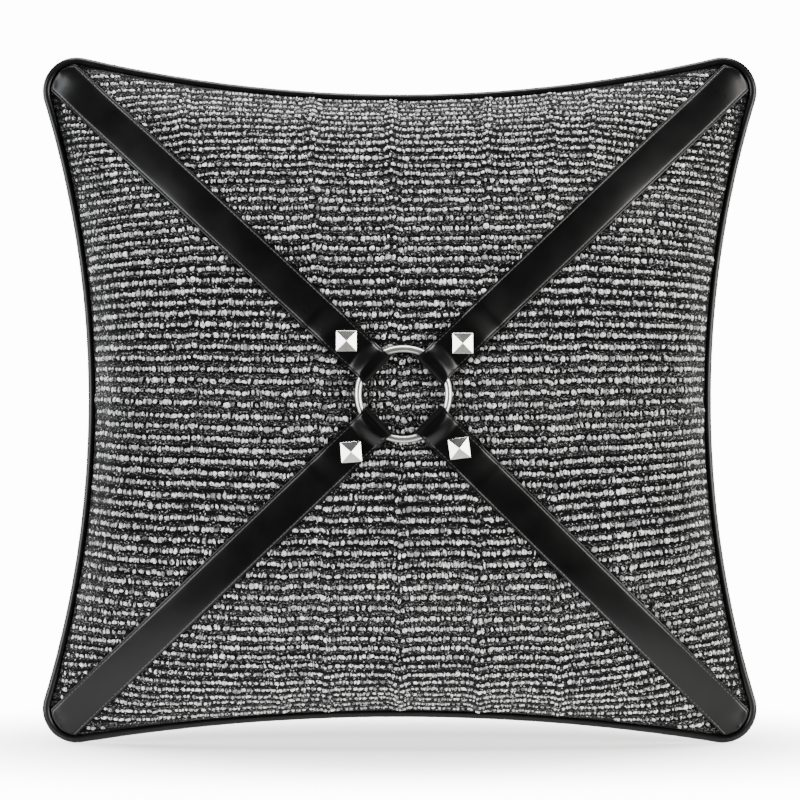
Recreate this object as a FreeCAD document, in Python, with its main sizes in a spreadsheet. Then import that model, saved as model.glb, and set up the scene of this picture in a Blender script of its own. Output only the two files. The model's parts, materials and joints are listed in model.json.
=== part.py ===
import FreeCAD, Part
import Sketcher
import math
import os

from FreeCAD import Placement, Rotation, Vector

# A square knife-edge throw pillow, upright, front face towards -Y.
# The origin is on the ground under its centre; the seam lies in the plane y = 0.

os.makedirs("parts", exist_ok=True)
doc = FreeCAD.newDocument("throw_pillow")
sheet = doc.addObject("Spreadsheet::Sheet", "sizes")

# Driving dimensions: alias, value in millimetres or degrees, meaning.
DIMENSIONS = (
    ("pillow_width", 500, "corner to corner along X, over the welt"),
    ("pillow_height", 480, "corner to corner along Z, over the welt"),
    ("side_hollow", 32, "how far each side pulls in between its corners"),
    ("top_hollow", 26, "how far the top pulls in"),
    ("bottom_hollow", 18, "how far the bottom pulls in"),
    ("corner_radius", 24, "outer radius of a corner, over the welt"),
    ("front_crown", 76, "seam plane to the front panel's middle"),
    ("back_crown", 82, "seam plane to the back panel's middle"),
    ("crown_flat", 84, "radius of the nearly flat middle of each panel"),
    ("crown_flat_ease", 6, "how much smaller that middle's corner radius is"),
    ("cloth", 1.5, "thickness of the tweed and of the back cloth"),
    ("ticking", 0.8, "thickness of the insert's case"),
    ("welt_diameter", 5.8, "leather-covered welt"),
    ("welt_leather", 0.8, "leather round the welt cord"),
    ("cord_diameter", 4, "welt cord"),
    ("flange_width", 8, "leather seam allowance inside the seam"),
    ("gap_soft", 0.3, "gap between layers that lie on each other"),
    ("gap_thin", 0.1, "gap between layers that a stud holds together"),
    ("insert_margin", 10, "how much smaller the insert is at the seam"),
    ("insert_drop", 3, "room between panel and insert at the crown"),
    ("strap_width", 25, "leather strap"),
    ("strap_leather", 1.2, "thickness of one strap layer"),
    ("strap_end", 3.1, "distance from the seam plane where a strap stops at the welt"),
    ("fold_distance", 23, "ring centre to the outside of a strap's fold"),
    ("tail_end", 66, "ring centre to the end of a strap's folded tail"),
    ("over_ring", 4.5, "level run of a strap past its fold, over the ring"),
    ("on_tail", 41, "ring centre to where a strap comes down on its tail"),
    ("off_tail", 67, "ring centre to where a strap leaves its tail"),
    ("strap_down", 80, "ring centre to where a strap lies on the panel again"),
    ("strap_lap", 2, "length over which a strap's two parts are joined"),
    ("ring_aside", 2.5, "ring centre, to the right of the pillow's middle"),
    ("ring_up", 4, "ring centre, above the pillow's middle"),
    ("ring_radius", 30.6, "centre line of the ring's wire"),
    ("ring_wire", 4.8, "diameter of the ring's wire"),
    ("ring_room", 0.4, "clearance between the ring's wire and a strap"),
    ("stud_distance", 52.7, "ring centre to a stud, along its strap"),
    ("stud_side", 14, "square base of a pyramid stud"),
    ("stud_skirt", 0.8, "upright edge of a stud"),
    ("stud_pyramid", 3.4, "height of the pyramid on its skirt"),
    ("stud_tip", 0.6, "side of the small flat at the pyramid's tip"),
    ("post_diameter", 3, "stud post"),
    ("post_hole", 3.3, "hole for a stud post in straps and front panel"),
    ("backing_diameter", 10, "disc that holds a stud from inside the cover"),
    ("backing_thickness", 1.2, "disc that holds a stud from inside the cover"),
    ("zip_length", 344, "opening in the back panel"),
    ("zip_slot", 14, "width of that opening"),
    ("zip_cut", 24, "depth of the cut that makes that opening"),
    ("zip_tilt", 19.5, "slope of the back panel at the zip"),
    ("zip_depth", 2.6, "panel's outer face to the tape's outer face"),
    ("tape_width", 12, "one side of the zip's tape"),
    ("tape_thickness", 0.8, "zip tape"),
    ("coil_gap", 1.2, "middle gap between the two coils"),
    ("coil_width", 2, "one coil"),
    ("coil_height", 1.8, "one coil"),
    ("coil_length", 318, "both coils"),
    ("coil_rounding", 0.8, "outer edges of the coils"),
    ("stop_length", 3, "metal stop at either end of the coils"),
    ("stop_width", 6.4, "metal stop at either end of the coils"),
    ("slider_place", 151, "slider's middle, right of the pillow's middle, zip closed"),
    ("slider_length", 11, "slider"),
    ("slider_width", 8.6, "slider"),
    ("slider_plate", 1, "each plate of the slider"),
    ("slider_room", 0.3, "clearance between slider and coils or tape"),
    ("wedge_width", 0.6, "web between the slider's plates"),
    ("wedge_length", 3, "web between the slider's plates"),
    ("bail_width", 2.2, "arch that holds the pull"),
    ("bail_opening", 4, "length of the opening under the arch"),
    ("bail_height", 2.2, "height of the opening under the arch"),
    ("bail_wall", 1, "legs and top of the arch"),
    ("pull_length", 19, "zip pull, from the outside of its crossbar"),
    ("pull_width", 7, "zip pull"),
    ("pull_thickness", 1.3, "zip pull and its round crossbar"),
    ("window_length", 5.2, "window in the pull, beside its crossbar"),
    ("window_width", 3.4, "window in the pull"),
)

# Contours of a crowned panel from the seam to the crown's flat: depth as a share of the crown,
# how far the corners draw in, what is left of the hollow sides, and the corner radius.
CONTOURS = (
    (0.00, 0, 1.00, 18.2),
    (0.12, 16, 0.50, 22),
    (0.30, 32, 0.05, 30),
    (0.50, 39, 0.05, 66),
    (0.70, 56, -0.20, 112),
    (0.86, 80, -0.25, 138),
    (0.95, 120, -0.15, 112),
)
HEIGHT_DRAW = 0.8
FLAT_BULGE = -0.0625
SEWING = 1e-4

for row, (alias, value, meaning) in enumerate(DIMENSIONS, start=1):
    sheet.set(f"A{row}", meaning)
    sheet.set(f"B{row}", str(value))
    sheet.setAlias(f"B{row}", alias)
doc.recompute()


def size(alias):
    return float(sheet.get(alias))


def bind(feature, **sizes):
    for name, expression in sizes.items():
        feature.setExpression(name, expression)


def cell(alias):
    return f"<<sizes>>.{alias}"


MIDDLE = size("pillow_height") / 2
WELT_RADIUS = size("welt_diameter") / 2
SEAM_INSET = size("welt_diameter")
RIM = size("welt_leather")

parts = []


def keep(feature, label):
    feature.Label = label
    parts.append(feature)
    return feature


def keep_shape(shape, label):
    feature = doc.addObject("Part::Feature", label)
    feature.Shape = shape
    return keep(feature, label)


# ---------------------------------------------------------------- seam outline and crowned forms

def tangent_point(side_middle, corner_along, corner_across, radius):
    """Where the long arc through side_middle meets the corner arc, in the side's own axes."""
    step = side_middle - corner_along
    long_radius = (step ** 2 + corner_across ** 2 - radius ** 2) / (2 * (radius - step))
    centre = side_middle + long_radius
    reach = math.copysign(radius, long_radius) / math.hypot(corner_along - centre, corner_across)
    return (corner_along - reach * (corner_along - centre), corner_across * (1 - reach))


def outline(half_width, half_height, hollow, radius, y):
    """A closed wire of four long arcs and four corner arcs, hollow being a share of the pull-in."""
    centre_x = half_width - radius
    centre_z = half_height - radius
    middles = {
        "side": half_width - hollow * size("side_hollow"),
        "top": half_height - hollow * size("top_hollow"),
        "bottom": half_height - hollow * size("bottom_hollow"),
    }
    side = tangent_point(middles["side"], centre_x, centre_z, radius)
    top = tangent_point(middles["top"], centre_z, centre_x, radius)
    bottom = tangent_point(middles["bottom"], centre_z, centre_x, radius)

    def at(x, z):
        return Vector(x, y, MIDDLE + z)

    def corner(sign_x, sign_z, first, last):
        centre = at(sign_x * centre_x, sign_z * centre_z)
        bisector = (first - centre).normalize() + (last - centre).normalize()
        return Part.Arc(first, centre + bisector.normalize() * radius, last)

    right_low = at(side[0], -side[1])
    right_high = at(side[0], side[1])
    top_right = at(top[1], top[0])
    top_left = at(-top[1], top[0])
    left_high = at(-side[0], side[1])
    left_low = at(-side[0], -side[1])
    bottom_left = at(-bottom[1], -bottom[0])
    bottom_right = at(bottom[1], -bottom[0])
    curves = (
        Part.Arc(right_low, at(middles["side"], 0), right_high),
        corner(1, 1, right_high, top_right),
        Part.Arc(top_right, at(0, middles["top"]), top_left),
        corner(-1, 1, top_left, left_high),
        Part.Arc(left_high, at(-middles["side"], 0), left_low),
        corner(-1, -1, left_low, bottom_left),
        Part.Arc(bottom_left, at(0, -middles["bottom"]), bottom_right),
        corner(1, -1, bottom_right, right_low),
    )
    return Part.Wire([curve.toShape() for curve in curves])


def silhouette(inset, y=0.0):
    """The pillow's outline over the welt, moved inwards by inset."""
    return outline(size("pillow_width") / 2 - inset, size("pillow_height") / 2 - inset, 1,
                   size("corner_radius") - inset, y)


def crowned_wires(facing, crown, inset, rim):
    """Contours from the seam to the crown's flat; facing is -1 for the front, 1 for the back."""
    half_width = size("pillow_width") / 2 - SEAM_INSET - inset
    half_height = size("pillow_height") / 2 - SEAM_INSET - inset
    wires = []
    for depth, draw, hollow, radius in CONTOURS:
        y = facing * (rim + depth * (crown - rim))
        wires.append(outline(half_width - draw, half_height - draw * HEIGHT_DRAW, hollow,
                             radius - inset, y))
    flat = size("crown_flat") - inset
    wires.append(outline(flat, flat, FLAT_BULGE, flat - size("crown_flat_ease"), facing * crown))
    return wires


def crowned(facing, crown, inset=0.0, rim=RIM):
    """A closed dome from the seam plane to the crown's flat."""
    return Part.makeLoft(crowned_wires(facing, crown, inset, rim), True, True)


def crowned_shell(facing, crown, thickness, inset=0.0, rim=RIM):
    """A dome of cloth or leather with an open rim; crown and inset are its outer face's."""
    outside = crowned_wires(facing, crown, inset, rim)
    inside = crowned_wires(facing, crown - thickness, inset + thickness, rim)
    faces = [Part.Face([outside[0], inside[0]])]
    for wires in (outside, inside):
        faces += Part.makeLoft(wires, False, True).Faces
        faces.append(Part.Face(wires[-1]))
    shell = Part.Shell(faces)
    shell.sewShape()
    shell.fix(SEWING, SEWING, SEWING)
    solid = Part.Solid(shell)
    solid.fix(SEWING, SEWING, SEWING)
    return solid


def box_between(low, high):
    return Part.makeBox(high.x - low.x, high.y - low.y, high.z - low.z, low)


# ---------------------------------------------------------------- ring, straps and studs

STRAP_TOP = -size("front_crown") - size("gap_soft") - size("strap_leather")
RING_Y = STRAP_TOP - size("ring_room") - size("ring_wire") / 2
RING_CENTRE = Vector(size("ring_aside"), RING_Y, MIDDLE + size("ring_up"))
STUD_BASE = STRAP_TOP - size("gap_thin") - size("strap_leather")

# Each strap: name, corner it runs to, how far its line passes beside the ring's centre,
# how far its stud sits beside that line, and the stud's turn about its post.
STRAPS = (
    ("upper_left", -1, 1, 0.0, 0.0, 0.0),
    ("upper_right", 1, 1, -1.0, -2.0, 0.0),
    ("lower_left", -1, -1, 1.5, 2.4, -4.5),
    ("lower_right", 1, -1, 0.0, 0.4, -7.5),
)


def strap_placement(sign_x, sign_z, aside):
    """Local X along the strap from the ring to its corner, local Z across it, Y as in the pillow."""
    seam_radius = size("corner_radius") - SEAM_INSET
    reach = seam_radius / math.sqrt(2)
    centre_x = size("pillow_width") / 2 - size("corner_radius")
    centre_z = size("pillow_height") / 2 - size("corner_radius")
    tip = Vector(sign_x * (centre_x + reach), 0, MIDDLE + sign_z * (centre_z + reach))
    away = tip - Vector(RING_CENTRE.x, 0, RING_CENTRE.z)
    angle = math.degrees(math.atan2(away.z, away.x) - math.asin(aside / away.Length))
    rotation = Rotation(Vector(0, -1, 0), angle)
    start = Vector(RING_CENTRE.x, 0, RING_CENTRE.z) + rotation.multVec(Vector(0, 0, aside))
    return Placement(start, rotation)


def strap_loop():
    """The strap's end that folds round the ring and comes back under itself as a tail."""
    leather = size("strap_leather")
    inner = size("ring_wire") / 2 + size("ring_room")
    outer = inner + leather
    fold = size("fold_distance") + outer
    tail_low = STRAP_TOP + leather
    double_low = STRAP_TOP - size("gap_thin")
    half = size("strap_width") / 2
    over_ring = fold + size("over_ring")
    on_tail = size("on_tail")
    off_tail = size("off_tail")
    on_panel = size("strap_down")
    run_on = on_panel + size("strap_lap")
    slope = math.atan2(double_low - RING_Y + inner, on_tail - over_ring)
    knee = leather * math.tan(slope / 2)

    def at(x, y):
        return Vector(x, y, -half)

    outside = Part.Arc(at(fold, RING_Y + outer), at(fold - outer, RING_Y), at(fold, RING_Y - outer))
    inside = Part.Arc(at(fold, RING_Y - inner), at(fold - inner, RING_Y), at(fold, RING_Y + inner))
    above = (
        at(fold, RING_Y - outer),
        at(over_ring + knee, RING_Y - outer),
        at(on_tail + knee, double_low - leather),
        at(off_tail, double_low - leather),
        at(on_panel, STRAP_TOP),
        at(run_on, STRAP_TOP),
        at(run_on, tail_low),
        at(on_panel, tail_low),
        at(off_tail, double_low),
        at(on_tail, double_low),
        at(over_ring, RING_Y - inner),
        at(fold, RING_Y - inner),
    )
    below = (
        at(fold, RING_Y + inner),
        at(size("tail_end"), STRAP_TOP),
        at(size("tail_end"), tail_low),
        at(fold, tail_low),
    )
    edges = [outside.toShape()]
    edges += [Part.makeLine(a, b) for a, b in zip(above, above[1:])]
    edges.append(inside.toShape())
    edges += [Part.makeLine(a, b) for a, b in zip(below, below[1:])]
    return Part.Face(Part.Wire(edges)).extrude(Vector(0, 0, 2 * half))


def strap_layer():
    """The layer of leather that lies all over the front panel, which each strap is a band of."""
    high = size("gap_soft") + size("strap_leather")
    return crowned_shell(-1, size("front_crown") + high, size("strap_leather"), -high)


def make_straps():
    layer = strap_layer()
    half = size("strap_width") / 2
    band_start = size("strap_down") - size("strap_lap") / 2
    most = size("strap_width") * size("strap_leather") * size("pillow_width")
    holes = []
    for name, sign_x, sign_z, aside, stud_aside, turn in STRAPS:
        place = strap_placement(sign_x, sign_z, aside)
        band = box_between(Vector(band_start, -size("front_crown") - size("strap_width"), -half),
                           Vector(size("pillow_width"), -size("strap_end"), half))
        band.Placement = place
        loop = strap_loop()
        loop.Placement = place
        stud_at = place.multVec(Vector(size("stud_distance"), STUD_BASE, stud_aside))
        hole = Part.makeCylinder(size("post_hole") / 2, 2 * size("strap_width"),
                                 stud_at - Vector(0, size("strap_width"), 0), Vector(0, 1, 0))
        holes.append(hole)
        strap = layer.common(band).fuse(loop).removeSplitter().cut(hole)
        if strap.Volume > most:
            raise ValueError(f"strap_{name} is more than a band")
        keep_shape(strap.Solids[0], f"strap_{name}")
        make_stud(name, stud_at, turn)
        make_backing(name, stud_at)
    return holes


def make_stud(name, stud_at, turn):
    """A pyramid on a square skirt, with a post; built about local Z, which turns to face -Y."""
    skirt = doc.addObject("Part::Box", f"stud_skirt_{name}")
    bind(skirt, Length=cell("stud_side"), Width=cell("stud_side"), Height=cell("stud_skirt"))
    bind(skirt, **{"Placement.Base.x": f"-{cell('stud_side')} / 2",
                   "Placement.Base.y": f"-{cell('stud_side')} / 2"})
    pyramid = doc.addObject("Part::Wedge", f"stud_pyramid_{name}")
    bind(pyramid, Xmin=f"-{cell('stud_side')} / 2", Xmax=f"{cell('stud_side')} / 2",
         Zmin=f"-{cell('stud_side')} / 2", Zmax=f"{cell('stud_side')} / 2",
         Ymin="0", Ymax=cell("stud_pyramid"),
         X2min=f"-{cell('stud_tip')} / 2", X2max=f"{cell('stud_tip')} / 2",
         Z2min=f"-{cell('stud_tip')} / 2", Z2max=f"{cell('stud_tip')} / 2")
    pyramid.Placement.Rotation = Rotation(Vector(1, 0, 0), 90)
    bind(pyramid, **{"Placement.Base.z": cell("stud_skirt")})
    post = doc.addObject("Part::Cylinder", f"stud_post_{name}")
    bind(post, Radius=f"{cell('post_diameter')} / 2",
         Height=f"2 * {cell('strap_leather')} + 2 * {cell('gap_soft')} + {cell('cloth')}"
                f" + {cell('backing_thickness')}")
    post.Placement.Rotation = Rotation(Vector(1, 0, 0), 180)
    stud = doc.addObject("Part::MultiFuse", f"stud_{name}")
    stud.Shapes = [skirt, pyramid, post]
    stud.Placement = Placement(stud_at, Rotation(Vector(0, 1, 0), turn) * Rotation(Vector(1, 0, 0), 90))
    keep(stud, f"stud_{name}")


def make_backing(name, stud_at):
    disc = doc.addObject("Part::Cylinder", f"backing_disc_{name}")
    bind(disc, Radius=f"{cell('backing_diameter')} / 2", Height=cell("backing_thickness"))
    bore = doc.addObject("Part::Cylinder", f"backing_bore_{name}")
    bind(bore, Radius=f"{cell('post_diameter')} / 2", Height=cell("backing_thickness"))
    backing = doc.addObject("Part::Cut", f"stud_backing_{name}")
    backing.Base = disc
    backing.Tool = bore
    inside = -size("front_crown") + size("cloth") + size("gap_thin")
    backing.Placement = Placement(Vector(stud_at.x, inside, stud_at.z), Rotation(Vector(1, 0, 0), -90))
    keep(backing, f"stud_backing_{name}")


def make_ring():
    ring = doc.addObject("Part::Torus", "ring")
    bind(ring, Radius1=cell("ring_radius"), Radius2=f"{cell('ring_wire')} / 2")
    ring.Placement = Placement(RING_CENTRE, Rotation(Vector(1, 0, 0), 90))
    keep(ring, "ring")


# ---------------------------------------------------------------- cover, welt and insert

def along_welt(edges):
    """A profile at the start of the welt's centre line, carried all along that line."""
    sweep = Part.BRepOffsetAPI.MakePipeShell(silhouette(WELT_RADIUS))
    sweep.setBiNormalMode(Vector(0, 1, 0))
    sweep.add(Part.Wire(edges))
    sweep.build()
    sweep.makeSolid()
    return sweep.shape()


def make_welt():
    """A leather tube and its flat seam allowance in one, with the cord in the tube."""
    first = silhouette(WELT_RADIUS).Edges[0]
    start = first.valueAt(first.FirstParameter)
    tangent = first.tangentAt(first.FirstParameter)
    inwards = tangent.cross(Vector(0, 1, 0))
    root = math.sqrt(WELT_RADIUS ** 2 - RIM ** 2)
    reach = WELT_RADIUS + size("flange_width")

    def at(inward, y):
        return start + inwards * inward + Vector(0, y, 0)

    keyhole = [
        Part.Arc(at(root, RIM), at(-WELT_RADIUS, 0), at(root, -RIM)).toShape(),
        Part.makeLine(at(root, -RIM), at(reach, -RIM)),
        Part.makeLine(at(reach, -RIM), at(reach, RIM)),
        Part.makeLine(at(reach, RIM), at(root, RIM)),
    ]
    hollow = Part.makeCircle(WELT_RADIUS - size("welt_leather"), start, tangent)
    cord = Part.makeCircle(size("cord_diameter") / 2, start, tangent)
    keep_shape(along_welt(keyhole).cut(along_welt([hollow])), "welt_cover")
    keep_shape(along_welt([cord]), "welt_cord")


def make_front_panel(holes):
    cloth = size("cloth")
    panel = crowned_shell(-1, size("front_crown"), cloth)
    for hole in holes:
        panel = panel.cut(hole)
    keep_shape(panel, "front_panel")


def zip_line():
    """Y and height of the zip's centre line on the back panel's outer face."""
    depth, draw, hollow, _ = CONTOURS[2]
    y = RIM + depth * (size("back_crown") - RIM)
    half_height = size("pillow_height") / 2 - SEAM_INSET - draw * HEIGHT_DRAW
    return y, MIDDLE - half_height + hollow * size("bottom_hollow")


ZIP_Y, ZIP_Z = zip_line()
ZIP_TURN = 180 + size("zip_tilt")


def on_zip(x, y, z, spin=0):
    """A placement in the zip's frame: X along it, local Z out of the pillow."""
    frame = Placement(Vector(0, ZIP_Y, ZIP_Z), Rotation(Vector(1, 0, 0), ZIP_TURN))
    return frame * Placement(Vector(x, y, z), Rotation(Vector(0, 0, 1), spin))


def make_back_panel():
    panel = crowned_shell(1, size("back_crown"), size("cloth"))
    corner = Vector(size("zip_length") / 2, size("zip_slot") / 2, size("zip_cut") / 2)
    slot = box_between(-corner, corner)
    slot.Placement = on_zip(0, 0, 0)
    half_width = size("pillow_width") / 2
    join = box_between(Vector(-half_width, 0, ZIP_Z - size("gap_soft") / 2),
                       Vector(half_width, size("back_crown"), ZIP_Z + size("gap_soft") / 2))
    pieces = sorted(panel.cut(slot).cut(join).Solids, key=lambda solid: solid.CenterOfMass.z)
    if len(pieces) != 2:
        raise ValueError(f"the back panel came out in {len(pieces)} pieces")
    keep_shape(pieces[0], "back_panel_lower")
    keep_shape(pieces[1], "back_panel_upper")


def make_insert():
    ticking = size("ticking")
    margin = size("insert_margin")
    fill_inset = margin + ticking + size("gap_soft")
    halves = []
    for facing, crown, name in ((-1, "front_crown", "front"), (1, "back_crown", "back")):
        outside = size(crown) - size("cloth") - size("insert_drop")
        keep_shape(crowned_shell(facing, outside, ticking, margin, 0), f"insert_case_{name}")
        halves.append(crowned(facing, outside - ticking - size("gap_soft"), fill_inset, 0))
    keep_shape(halves[0].fuse(halves[1]).removeSplitter(), "insert_fill")


# ---------------------------------------------------------------- zip

COIL_FOOT = -size("zip_depth")
COIL_TOP = COIL_FOOT + size("coil_height")
TAPE_FOOT = COIL_FOOT - size("tape_thickness")
PLATE_TOP = COIL_TOP + size("slider_room") + size("slider_plate")
PIVOT = PLATE_TOP + size("bail_height") / 2


def zip_box(label, x, y, z, length, width, height):
    """A box in the zip's frame, centred along X, from y and z upwards."""
    block = doc.addObject("Part::Box", label)
    bind(block, Length=length, Width=width, Height=height)
    doc.recompute()
    block.Placement = on_zip(x - block.Length.Value / 2, y, z)
    return block


def make_tapes_and_coils():
    gap = size("coil_gap") / 2
    for name, tape_y, coil_y in (
        ("upper", -gap - size("tape_width"), -gap - size("coil_width")),
        ("lower", gap, gap),
    ):
        tape = zip_box(f"zip_tape_{name}", 0, tape_y, TAPE_FOOT, cell("zip_length"),
                       cell("tape_width"), cell("tape_thickness"))
        keep(tape, f"zip_tape_{name}")
        coil = zip_box(f"zip_coil_bar_{name}", 0, coil_y, COIL_FOOT, cell("coil_length"),
                       cell("coil_width"), cell("coil_height"))
        rounded = doc.addObject("Part::Fillet", f"zip_coil_{name}")
        rounded.Base = coil
        edges = [i for i, edge in enumerate(coil.Shape.Edges, start=1)
                 if edge.Length > size("coil_length") / 2 and
                 on_zip(0, 0, 0).inverse().multVec(edge.CenterOfMass).z > (COIL_FOOT + COIL_TOP) / 2]
        rounded.Edges = [(i, size("coil_rounding"), size("coil_rounding")) for i in edges]
        keep(rounded, f"zip_coil_{name}")


def make_stops():
    reach = (size("coil_length") + size("stop_length")) / 2 + size("gap_soft")
    for name, x in (("open_end", -reach), ("closed_end", reach)):
        stop = zip_box(f"zip_stop_{name}", x, -size("stop_width") / 2, COIL_FOOT,
                       cell("stop_length"), cell("stop_width"), cell("coil_height"))
        keep(stop, f"zip_stop_{name}")


def origin_plane(body, role):
    return next(item for item in body.Origin.OriginFeatures if item.Role == role)


def new_sketch(body, name, role, offset=0.0):
    sketch = body.newObject("Sketcher::SketchObject", name)
    sketch.AttachmentSupport = (origin_plane(body, role), [""])
    sketch.MapMode = "FlatFace"
    sketch.AttachmentOffset = Placement(Vector(0, 0, offset), Rotation())
    return sketch


def add_rectangle(sketch, left, right, low, high):
    """A rectangle whose four sides keep expressions for their distances from the origin."""
    numbers = {"left": left, "right": right, "low": low, "high": high}
    corners = ((-1, -1), (1, -1), (1, 1), (-1, 1))
    first = sketch.GeometryCount
    for start, end in zip(corners, corners[1:] + corners[:1]):
        sketch.addGeometry(Part.LineSegment(Vector(*start, 0), Vector(*end, 0)), False)
    for side in range(4):
        sketch.addConstraint(Sketcher.Constraint("Coincident", first + side, 2,
                                                 first + (side + 1) % 4, 1))
        kind = "Horizontal" if side % 2 == 0 else "Vertical"
        sketch.addConstraint(Sketcher.Constraint(kind, first + side))
    for name, kind, vertex in (("left", "DistanceX", 0), ("right", "DistanceX", 2),
                               ("low", "DistanceY", 0), ("high", "DistanceY", 2)):
        sign = -1 if name in ("left", "low") else 1
        index = sketch.addConstraint(Sketcher.Constraint(kind, -1, 1, first + vertex, 1, sign))
        sketch.renameConstraint(index, f"{name}_{first}")
        sketch.setExpression(f"Constraints.{name}_{first}", numbers[name])


def pad(body, sketch, name, length, midplane=False):
    feature = body.newObject("PartDesign::Pad", name)
    feature.Profile = sketch
    feature.Midplane = midplane
    bind(feature, Length=length)
    body.Tip = feature
    doc.recompute()
    return feature


def pocket(body, sketch, name):
    """A cut through everything, both ways from the sketch; it has to remove something."""
    before = body.Shape.Volume
    feature = body.newObject("PartDesign::Pocket", name)
    feature.Profile = sketch
    feature.Type = "ThroughAll"
    feature.Midplane = True
    body.Tip = feature
    doc.recompute()
    if body.Shape.Volume >= before:
        raise ValueError(f"{name} cuts nothing")
    return feature


def make_slider():
    """Two plates joined by a thin web that runs between the coils, with an arch for the pull."""
    body = doc.addObject("PartDesign::Body", "zip_slider")
    half_length = f"{cell('slider_length')} / 2"
    half_width = f"{cell('slider_width')} / 2"
    inner_face = TAPE_FOOT - size("slider_room")
    for name, offset, length in (
        ("top_plate", PLATE_TOP - size("slider_plate"), cell("slider_plate")),
        ("bottom_plate", inner_face - size("slider_plate"), cell("slider_plate")),
    ):
        sketch = new_sketch(body, f"{name}_sketch", "XY_Plane", offset)
        add_rectangle(sketch, f"-{half_length}", half_length, f"-{half_width}", half_width)
        if name == "top_plate":
            pad(body, sketch, name, length)
            web = new_sketch(body, "web_sketch", "XY_Plane", inner_face - size("slider_plate"))
            add_rectangle(web, f"{half_length} - {cell('wedge_length')}", half_length,
                          f"-{cell('wedge_width')} / 2", f"{cell('wedge_width')} / 2")
            pad(body, web, "web", str(PLATE_TOP - inner_face + size("slider_plate")))
        else:
            pad(body, sketch, name, length)
    arch_half = f"({cell('bail_opening')} / 2 + {cell('bail_wall')})"
    arch = new_sketch(body, "arch_sketch", "XY_Plane", PLATE_TOP - size("slider_plate") / 2)
    add_rectangle(arch, f"-{arch_half}", arch_half, f"-{cell('bail_width')} / 2",
                  f"{cell('bail_width')} / 2")
    pad(body, arch, "arch",
        f"{cell('bail_height')} + {cell('bail_wall')} + {cell('slider_plate')} / 2")
    opening = new_sketch(body, "opening_sketch", "XZ_Plane")
    add_rectangle(opening, f"-{cell('bail_opening')} / 2", f"{cell('bail_opening')} / 2",
                  str(PLATE_TOP), f"{PLATE_TOP} + {cell('bail_height')}")
    pocket(body, opening, "arch_opening")
    body.Placement = on_zip(size("slider_place"), 0, 0)
    keep(body, "zip_slider")


def make_pull():
    """A flat tab with a window, and the round crossbar that turns in the slider's arch."""
    body = doc.addObject("PartDesign::Body", "zip_pull")
    half_width = f"{cell('pull_width')} / 2"
    half_bar = f"{cell('pull_thickness')} / 2"
    tab = new_sketch(body, "tab_sketch", "XY_Plane", -size("pull_thickness") / 2)
    add_rectangle(tab, f"{half_bar} - {cell('pull_length')}", "0 mm", f"-{half_width}", half_width)
    pad(body, tab, "tab", cell("pull_thickness"))
    window = new_sketch(body, "window_sketch", "XY_Plane")
    add_rectangle(window, f"-{half_bar} - {cell('window_length')}", half_bar,
                  f"-{cell('window_width')} / 2", f"{cell('window_width')} / 2")
    pocket(body, window, "window")
    bar = new_sketch(body, "crossbar_sketch", "XZ_Plane")
    bar.addGeometry(Part.Circle(Vector(), Vector(0, 0, 1), 1), False)
    bar.addConstraint(Sketcher.Constraint("Coincident", 0, 3, -1, 1))
    bar.renameConstraint(bar.addConstraint(Sketcher.Constraint("Radius", 0, 1)), "radius")
    bar.setExpression("Constraints.radius", half_bar)
    pad(body, bar, "crossbar", cell("pull_width"), midplane=True)
    body.Placement = on_zip(size("slider_place"), 0, PIVOT)
    keep(body, "zip_pull")


def check_document():
    doc.recompute()
    for feature in doc.Objects:
        if "Invalid" in feature.State or "Error" in feature.State:
            raise ValueError(f"{feature.Name} failed: {feature.State}")
    for feature in parts:
        if feature.Shape.isNull() or not feature.Shape.isValid():
            raise ValueError(f"{feature.Label} has no valid shape")


make_front_panel(make_straps())
make_ring()
make_back_panel()
make_welt()
make_insert()
make_tapes_and_coils()
make_stops()
make_slider()
make_pull()
check_document()

for feature in parts:
    feature.Shape.exportStep(os.path.join("parts", feature.Label + ".step"))

pivot = on_zip(size("slider_place"), 0, PIVOT).Base
print("ring centre", RING_CENTRE, "pull pivot", pivot, "nodes", len(parts))
for feature in parts:
    box = feature.Shape.optimalBoundingBox()
    print(f"{feature.Label:26s} solids {len(feature.Shape.Solids)} volume {feature.Shape.Volume:12.1f}"
          f"  x {box.XMin:7.1f} {box.XMax:7.1f}  y {box.YMin:6.1f} {box.YMax:6.1f}"
          f"  z {box.ZMin:6.1f} {box.ZMax:6.1f}")
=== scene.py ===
import json
import math
import random

import bmesh
import bpy
import numpy as np
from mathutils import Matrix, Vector, noise
from mathutils.bvhtree import BVHTree


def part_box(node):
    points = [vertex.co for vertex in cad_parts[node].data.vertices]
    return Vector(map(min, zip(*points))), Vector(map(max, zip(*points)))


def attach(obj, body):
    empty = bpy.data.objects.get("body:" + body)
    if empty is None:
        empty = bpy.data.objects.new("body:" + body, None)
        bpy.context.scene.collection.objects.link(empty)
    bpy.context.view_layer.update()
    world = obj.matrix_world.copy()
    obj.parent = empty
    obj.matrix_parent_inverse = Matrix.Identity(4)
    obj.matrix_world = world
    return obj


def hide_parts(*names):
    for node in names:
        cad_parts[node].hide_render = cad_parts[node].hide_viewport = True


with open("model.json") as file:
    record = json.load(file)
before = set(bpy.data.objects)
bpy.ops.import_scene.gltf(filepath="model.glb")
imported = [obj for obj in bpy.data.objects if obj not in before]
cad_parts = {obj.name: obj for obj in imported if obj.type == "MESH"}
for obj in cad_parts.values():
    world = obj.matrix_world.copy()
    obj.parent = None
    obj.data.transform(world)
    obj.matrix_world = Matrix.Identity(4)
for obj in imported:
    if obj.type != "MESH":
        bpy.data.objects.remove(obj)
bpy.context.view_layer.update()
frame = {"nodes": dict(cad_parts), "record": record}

random.seed(7)
draw = np.random.default_rng(7)


def corners(node):
    low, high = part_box(node)
    return np.array(low, float), np.array(high, float)


def centre_of(node):
    low, high = corners(node)
    return (low + high) / 2


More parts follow.
